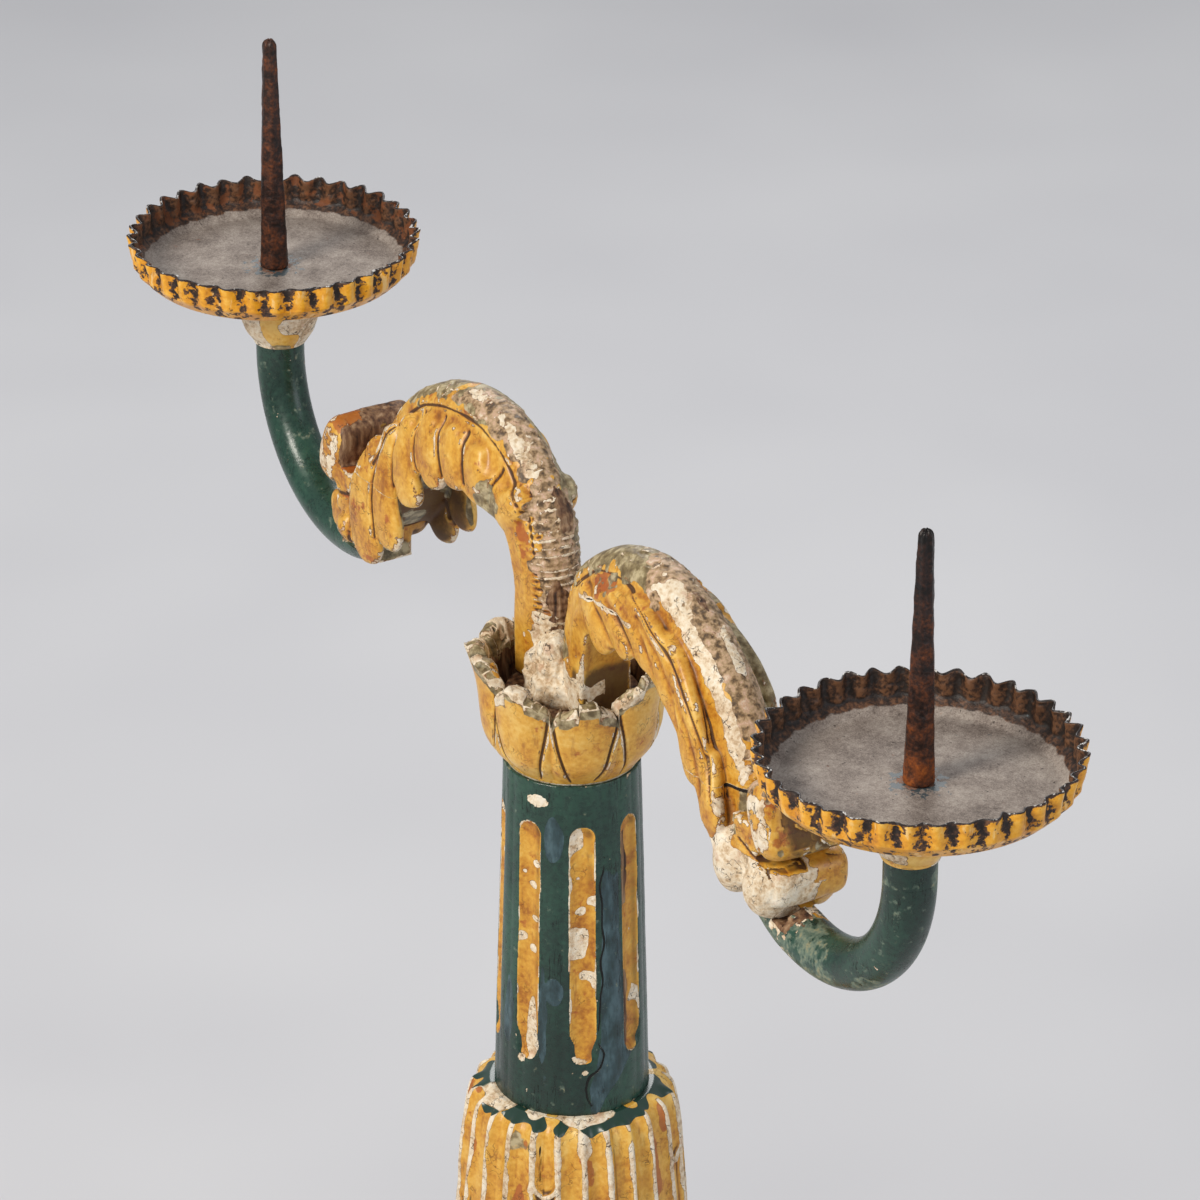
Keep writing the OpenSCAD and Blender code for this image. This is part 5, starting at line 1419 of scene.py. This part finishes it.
COLLAR_H, COLLAR_FOOT, COLLAR_TOP = 24.8, 9, 17.5
COLLAR_SIDE = [0, 0.3, 0.48, 0.64, 0.8, 0.93, 1]

for side, name in ((1, "right"), (-1, "left")):
    u = np.linspace(0, 1, 60)
    swell = COLLAR_FOOT + (COLLAR_TOP - COLLAR_FOOT) * through(COLLAR_SIDE, u)
    bottom = trace([(0, 0), (COLLAR_FOOT, 0)], 0.9)
    top = trace([(COLLAR_TOP, COLLAR_H), (0, COLLAR_H)], 0.9)
    line = np.concatenate([bottom, np.stack([swell, COLLAR_H * u], -1), top])
    rows = ring_round(line, 144) + [PAN_REACH - STEM_INSET, 0, STEM_TOP]
    on_flank = ((line[:, 1] > 0.5) & (line[:, 1] < 24))[:, None]
    wavy = (0.3 * noise(rows, 12, 171) + 0.12 * noise(rows, 3, 172)) * on_flank
    rows = (rows + normals_of(rows) * wavy[..., None]) * [side, 1, 1] + [0, 0, RIM_Z[side]]
    grey = ramp(noise(rows, 6, 174), 0.3, 0.7)
    marks = {"bare": ramp(noise(rows, 7, 173), -0.3, 0.3), "pale": 1.0, "grey": grey}
    mesh = shell("collar", rows, marks)
    settle(f"turned_collar_{name}", mesh, GILDED, "gilded_wood", "stand", f"collar_{name}")

# ---- Drip pans ----
# Round dishes cut from sheet iron, their walls beaten into crimps over a ridged stake. Yellow
# paint outside, dusty bare iron inside. Each turns loosely on its pricket's tang.


def painted_sheet(tree):
    """Sheet iron: chipped yellow paint outside; brown crimps inside, painted darker in their valleys as
    shade, and a dusty grey-brown floor
    """
    fine = cloud(tree, 1.3, 181.0, 5.0)
    floor_tone = cloud(tree, 9, 182.0, 5.0) * 0.4 + fine * 0.25 + cloud(tree, 0.5, 191.0, 3.0) * 0.35
    stops = [(0.36, "4F443C"), (0.47, "83776E"), (0.56, "A0958B"), (0.68, "BDB2A6")]
    dusty = toned(tree, floor_tone, stops)
    finish = layer(dusty, 0.75, fine * 0.3)
    brown_stops = [(0.38, "1E130D"), (0.5, "432B1C"), (0.62, "6E4A30")]
    # The brown darkens in the crimps' valleys: painted shade.
    brown = toned(tree, fine + mark(tree, "hollow") * -0.2, brown_stops)
    wall = (mark(tree, "wall") + cloud(tree, 3, 183.0) * 0.6).rise(0.68, 0.86)
    finish = over(tree, finish, layer(brown, 0.5, fine * 0.35), wall)
    specks = (cloud(tree, 1.5, 184.0, 3.0)).rise(0.66, 0.7)
    finish = over(tree, finish, layer("2B211B", 0.8, -0.1), specks * 0.7)
    rust = (cloud(tree, 4, 185.0, 5.0) + mark(tree, "rust") * 0.25).rise(0.66, 0.74)
    finish = over(tree, finish, layer("8A4E26", 0.85, 0.1), rust * 0.6)
    flaky = (cloud(tree, 3, 186.0, 5.0) + mark(tree, "flaky") * 0.2).rise(0.68, 0.71)
    finish = over(tree, finish, layer("444E52", 0.5, 0.15), flaky)
    hollow = mark(tree, "hollow")
    # The yellow darkens a little in hollows: painted shade.
    tone = cloud(tree, 8, 187.0, 4.0) * 0.6 + fine * 0.4 - hollow * 0.1
    yellow = toned(tree, tone, [(0.34, "A4640F"), (0.46, "D58F1A"), (0.56, "E9A626"), (0.7, "F2C25A")])
    coat = layer(yellow, 0.34, 0.25)
    dark = layer(brown, 0.6, 0.0)
    pale = cloud(tree, 3, 190.0, 4.0, (1, 1, 0.3)).rise(0.56, 0.66)
    coat = over(tree, coat, layer("F0CF8E", 0.4, 0.2), pale * 0.7)
    worn_off = cloud(tree, 2.6, 188.0, 5.0) + hollow * 0.16 + mark(tree, "edge") * 0.25
    coat = over(tree, coat, layer("7A5A40", 0.6, -0.05), worn_off.rise(0.52, 0.55))
    coat = over(tree, coat, dark, worn_off.rise(0.55, 0.575))
    finish = over(tree, finish, coat, (mark(tree, "outside") + (fine - 0.5) * 0.3).rise(0.45, 0.55))
    edge = mark(tree, "edge")
    finish = over(tree, finish, layer("21150F", 0.4, 0.0), (edge + fine * 0.4).rise(0.9, 1.15))
    glint = (edge * 0.5 + cloud(tree, 1.8, 189.0, 4.0)).rise(1.06, 1.12)
    return over(tree, finish, layer("C9C6C1", 0.3, 0.0), glint)


SHEET_IRON = surface("painted_sheet_iron", painted_sheet)
PAN_RIM, PAN_BEND, PAN_FLOOR, PAN_H, SHEET, BORE = 48.9, 48.06, 43.5, 14.5, 1.0, 3.05
CRIMPS, CRIMP_DEPTH, CRIMP_LOW = 36, 1.1, 0.4
# Share of the way along the section, radius, height below the rim and share of the crimp
PAN_SECTION = [
    (0.0, BORE, -PAN_H, 0),
    (0.2, 30, -PAN_H, 0),
    (0.27, PAN_FLOOR - 0.8, -PAN_H, 0),
    (0.29, PAN_FLOOR + 0.3, -PAN_H + 0.35, 0.02),
    (0.34, PAN_BEND - 0.8, -PAN_H + 4.2, 0.3),
    (0.37, PAN_BEND, -PAN_H + 5.4, CRIMP_LOW),
    (0.5, PAN_RIM, -0.25, 1),
    (0.51, PAN_RIM - SHEET / 2, 0, 1),
    (0.52, PAN_RIM - SHEET, -0.25, 1),
    (0.65, PAN_BEND - SHEET, -PAN_H + 5.6, CRIMP_LOW),
    (0.7, PAN_FLOOR - 1.4, -PAN_H + 1.2, 0.02),
    (0.72, PAN_FLOOR - 2.4, -PAN_H + SHEET, 0),
    (0.8, 30, -PAN_H + SHEET, 0),
    (0.98, BORE, -PAN_H + SHEET, 0),
    (1.0, BORE, -PAN_H, 0),
]


def drip_pan(side):
    """A section of thin sheet wound round the tang, with crimps that grow towards the rim"""
    names = ["Reach", "Depth", "Crimps", "Crimp depth", "Seed"]
    tree, (reach, deep, crimps, crimp_depth, seed) = sized_tree("drip_pan", names)
    sheet, angle, share = wound_grid(tree, CRIMPS * 12, 150)
    curves = []
    for k, low, high in ((1, 0, 50), (2, -PAN_H, 0), (3, 0, 1)):
        points = [(p[0], (p[k] - low) / (high - low)) for p in PAN_SECTION]
        curves.append(put(tree, "ShaderNodeFloatCurve", {"Value": share}, curve=points))
    parts = {"X": angle.do("COSINE"), "Y": angle.do("SINE"), "Z": share * 2}
    around = {"Vector": put(tree, "ShaderNodeCombineXYZ", parts)}
    wide, fine = {**around, "W": seed, "Scale": 2.4}, {**around, "W": seed + 5, "Scale": 9.0}
    drift = put(tree, "ShaderNodeTexNoise", wide, noise_dimensions="4D") - 0.5
    uneven = put(tree, "ShaderNodeTexNoise", fine, noise_dimensions="4D") - 0.5
    wave = (angle * crimps + drift * 2.0).do("SINE") * 0.5 + 0.5
    lump = (wave * 2.6 - 1.6) * crimp_depth * (uneven * 1.6 + 1) * curves[2]
    radius = curves[0] * reach + lump + drift * curves[2] * (0.6 * MM)
    height = (curves[1] - 1) * deep + (uneven * 2.4 + wave * 0.8 - 1.5) * curves[2] * MM
    painted = {"outside": share.do("LESS_THAN", 0.503)}
    painted["wall"], painted["edge"] = curves[2].rise(0.02, 0.4), curves[1].rise(0.93, 0.985)
    for name, value in painted.items():
        inputs = {"Geometry": sheet, "Name": name, "Value": value}
        sheet = put(tree, "GeometryNodeStoreNamedAttribute", inputs, data_type="FLOAT", domain="POINT")
    pan = wound(tree, sheet, angle, radius, height)
    sizes = {"Reach": 50 * MM, "Depth": PAN_H * MM, "Crimps": CRIMPS, "Seed": 3 + side}
    sizes["Crimp depth"] = CRIMP_DEPTH * MM
    return grown("drip_pan", tree, pan, SHEET_IRON, sizes)


for side, name in ((1, "right"), (-1, "left")):
    mesh = drip_pan(side)
    points = points_of(mesh) / MM
    dent = 0.25 * noise(points, 14, 190 + side) * ramp(np.hypot(points[:, 0], points[:, 1]), 40, 30)
    points[:, 2] += dent * ramp(np.hypot(points[:, 0], points[:, 1]), 12, 22)
    from_axis = np.hypot(points[:, 0], points[:, 1])
    move_points(mesh, points + [side * PAN_REACH, 0, RIM_Z[side]])
    store(mesh, "flaky", ramp(from_axis, 14, 7) * (points[:, 2] > -PAN_H + 0.5))
    store(mesh, "rust", ramp(from_axis, 9, 5) + (0.6 if side < 0 else 0) * ramp(from_axis, 44, 47))
    mark_hollows(mesh, 1.2)
    settle(f"crimped_drip_pan_{name}", mesh, SHEET_IRON, "sheet_iron", f"{name}_pan", f"drip_pan_{name}")

# ---- Prickets ----
# Square iron rod, hammered round and tapered to a blunt point, with a thinner tang that is
# driven down through pan and collar into the stem. Rusted all over, blackened by candle soot.

PRICKET_H, PRICKET_R, POINT_R, TANG_R, TANG_END = 83, 4.8, 2.3, 2.75, -51.6

for side, name in ((1, "right"), (-1, "left")):
    foot = SHEET - PAN_H + 0.3
    top = foot + PRICKET_H - 0.3
    bend = np.linspace(0, math.pi / 2, 8)
    tip = [(POINT_R * math.cos(t), top - POINT_R + POINT_R * math.sin(t)) for t in bend]
    tang = [(0, TANG_END), (TANG_R, TANG_END), (TANG_R, foot)]
    line = trace([*tang, (PRICKET_R - 0.2, foot), (PRICKET_R, foot + 0.3), *tip], 0.5, 0.3)
    rows = ring_round(line, 80)
    spin = np.arctan2(rows[..., 1], rows[..., 0])
    spike = ramp(rows[..., 2], foot + 0.5, foot + 4)
    facets = -0.16 * np.cos(6 * spin + 0.03 * rows[..., 2]) * spike
    pits = 0.16 * noise(rows, 5, 201 + side) + 0.1 * noise(rows, 1.6, 203)
    rows = rows + normals_of(rows) * ((facets + pits) * spike)[..., None]
    rust = ramp(rows[..., 2], foot + 16, foot + 4) * (0.7 if side > 0 else 0.2)
    rust = rust - 0.7 * ramp(rows[..., 2], top - 40, top) * (side > 0)
    rows = (rows + [PAN_REACH, 0, 0]) * [side, 1, 1] + [0, 0, RIM_Z[side]]
    mesh = shell("pricket", rows, {"rust": rust})
    settle(f"forged_pricket_{name}", mesh, IRON, "wrought_iron", "stand", f"pricket_{name}")

# ---- Floor, light and camera ----
# A plain pale floor, broad soft lamps and the photograph's own view from above.


def plain_floor(tree):
    """Matt paper: pale grey with hardly visible mottling"""
    tone = cloud(tree, 300, 211.0, 2.0)
    colour = toned(tree, tone, [(0.3, "C9C9CC"), (0.7, "D2D2D4")])
    return layer(colour, 0.9, 0.0)


floor_mesh = bpy.data.meshes.new("floor")
form = bmesh.new()
bmesh.ops.create_grid(form, x_segments=4, y_segments=4, size=6.0)
form.to_mesh(floor_mesh)
form.free()
floor = bpy.data.objects.new("floor", floor_mesh)
bpy.context.collection.objects.link(floor)
floor_mesh.materials.append(surface("pale_paper", plain_floor))

world = bpy.data.worlds.new("studio")
bpy.context.scene.world = world
world.use_nodes = True
world.node_tree.nodes["Background"].inputs["Color"].default_value = linear("E4E6EA")
world.node_tree.nodes["Background"].inputs["Strength"].default_value = 0.55


def lamp(name, place, aim, size, power, code):
    light = bpy.data.lights.new(name, "AREA")
    light.shape, light.size, light.energy = "DISK", size, power
    light.color = linear(code)[:3]
    shown = bpy.data.objects.new(name, light)
    bpy.context.collection.objects.link(shown)
    shown.location = place
    shown.rotation_euler = (Vector(aim) - Vector(place)).to_track_quat("-Z", "Y").to_euler()


lamp("key", (0.35, -1.7, 1.75), (0, 0, 0.5), 0.7, 36, "FFF8EE")
lamp("fill", (1.9, 0.9, 1.1), (0, 0, 0.45), 1.2, 9, "F2F6FF")
lamp("back", (-1.4, 0.9, 1.6), (0, 0, 0.5), 0.9, 14, "FFFFFF")

CAMERA_PLACE = (1.51396, -0.91015, 1.45261)
AZIMUTH, ELEVATION, ROLL = math.radians(58.7), math.radians(27.0), math.radians(0.2)
right = Vector((math.cos(AZIMUTH), math.sin(AZIMUTH), 0))
level = math.cos(ELEVATION)
back = Vector((math.sin(AZIMUTH) * level, -math.cos(AZIMUTH) * level, math.sin(ELEVATION)))
upward = back.cross(right)
view_x = right * math.cos(ROLL) + upward * math.sin(ROLL)
view_y = upward * math.cos(ROLL) - right * math.sin(ROLL)
camera = bpy.data.objects.new("camera", bpy.data.cameras.new("camera"))
bpy.context.collection.objects.link(camera)
camera.data.sensor_width = 36
camera.data.lens = 185.97
camera.data.clip_end = 20
camera.matrix_world = Matrix.Translation(CAMERA_PLACE) @ Matrix((view_x, view_y, back)).transposed().to_4x4()
bpy.context.scene.camera = camera
bpy.context.scene.view_settings.view_transform = "Standard"
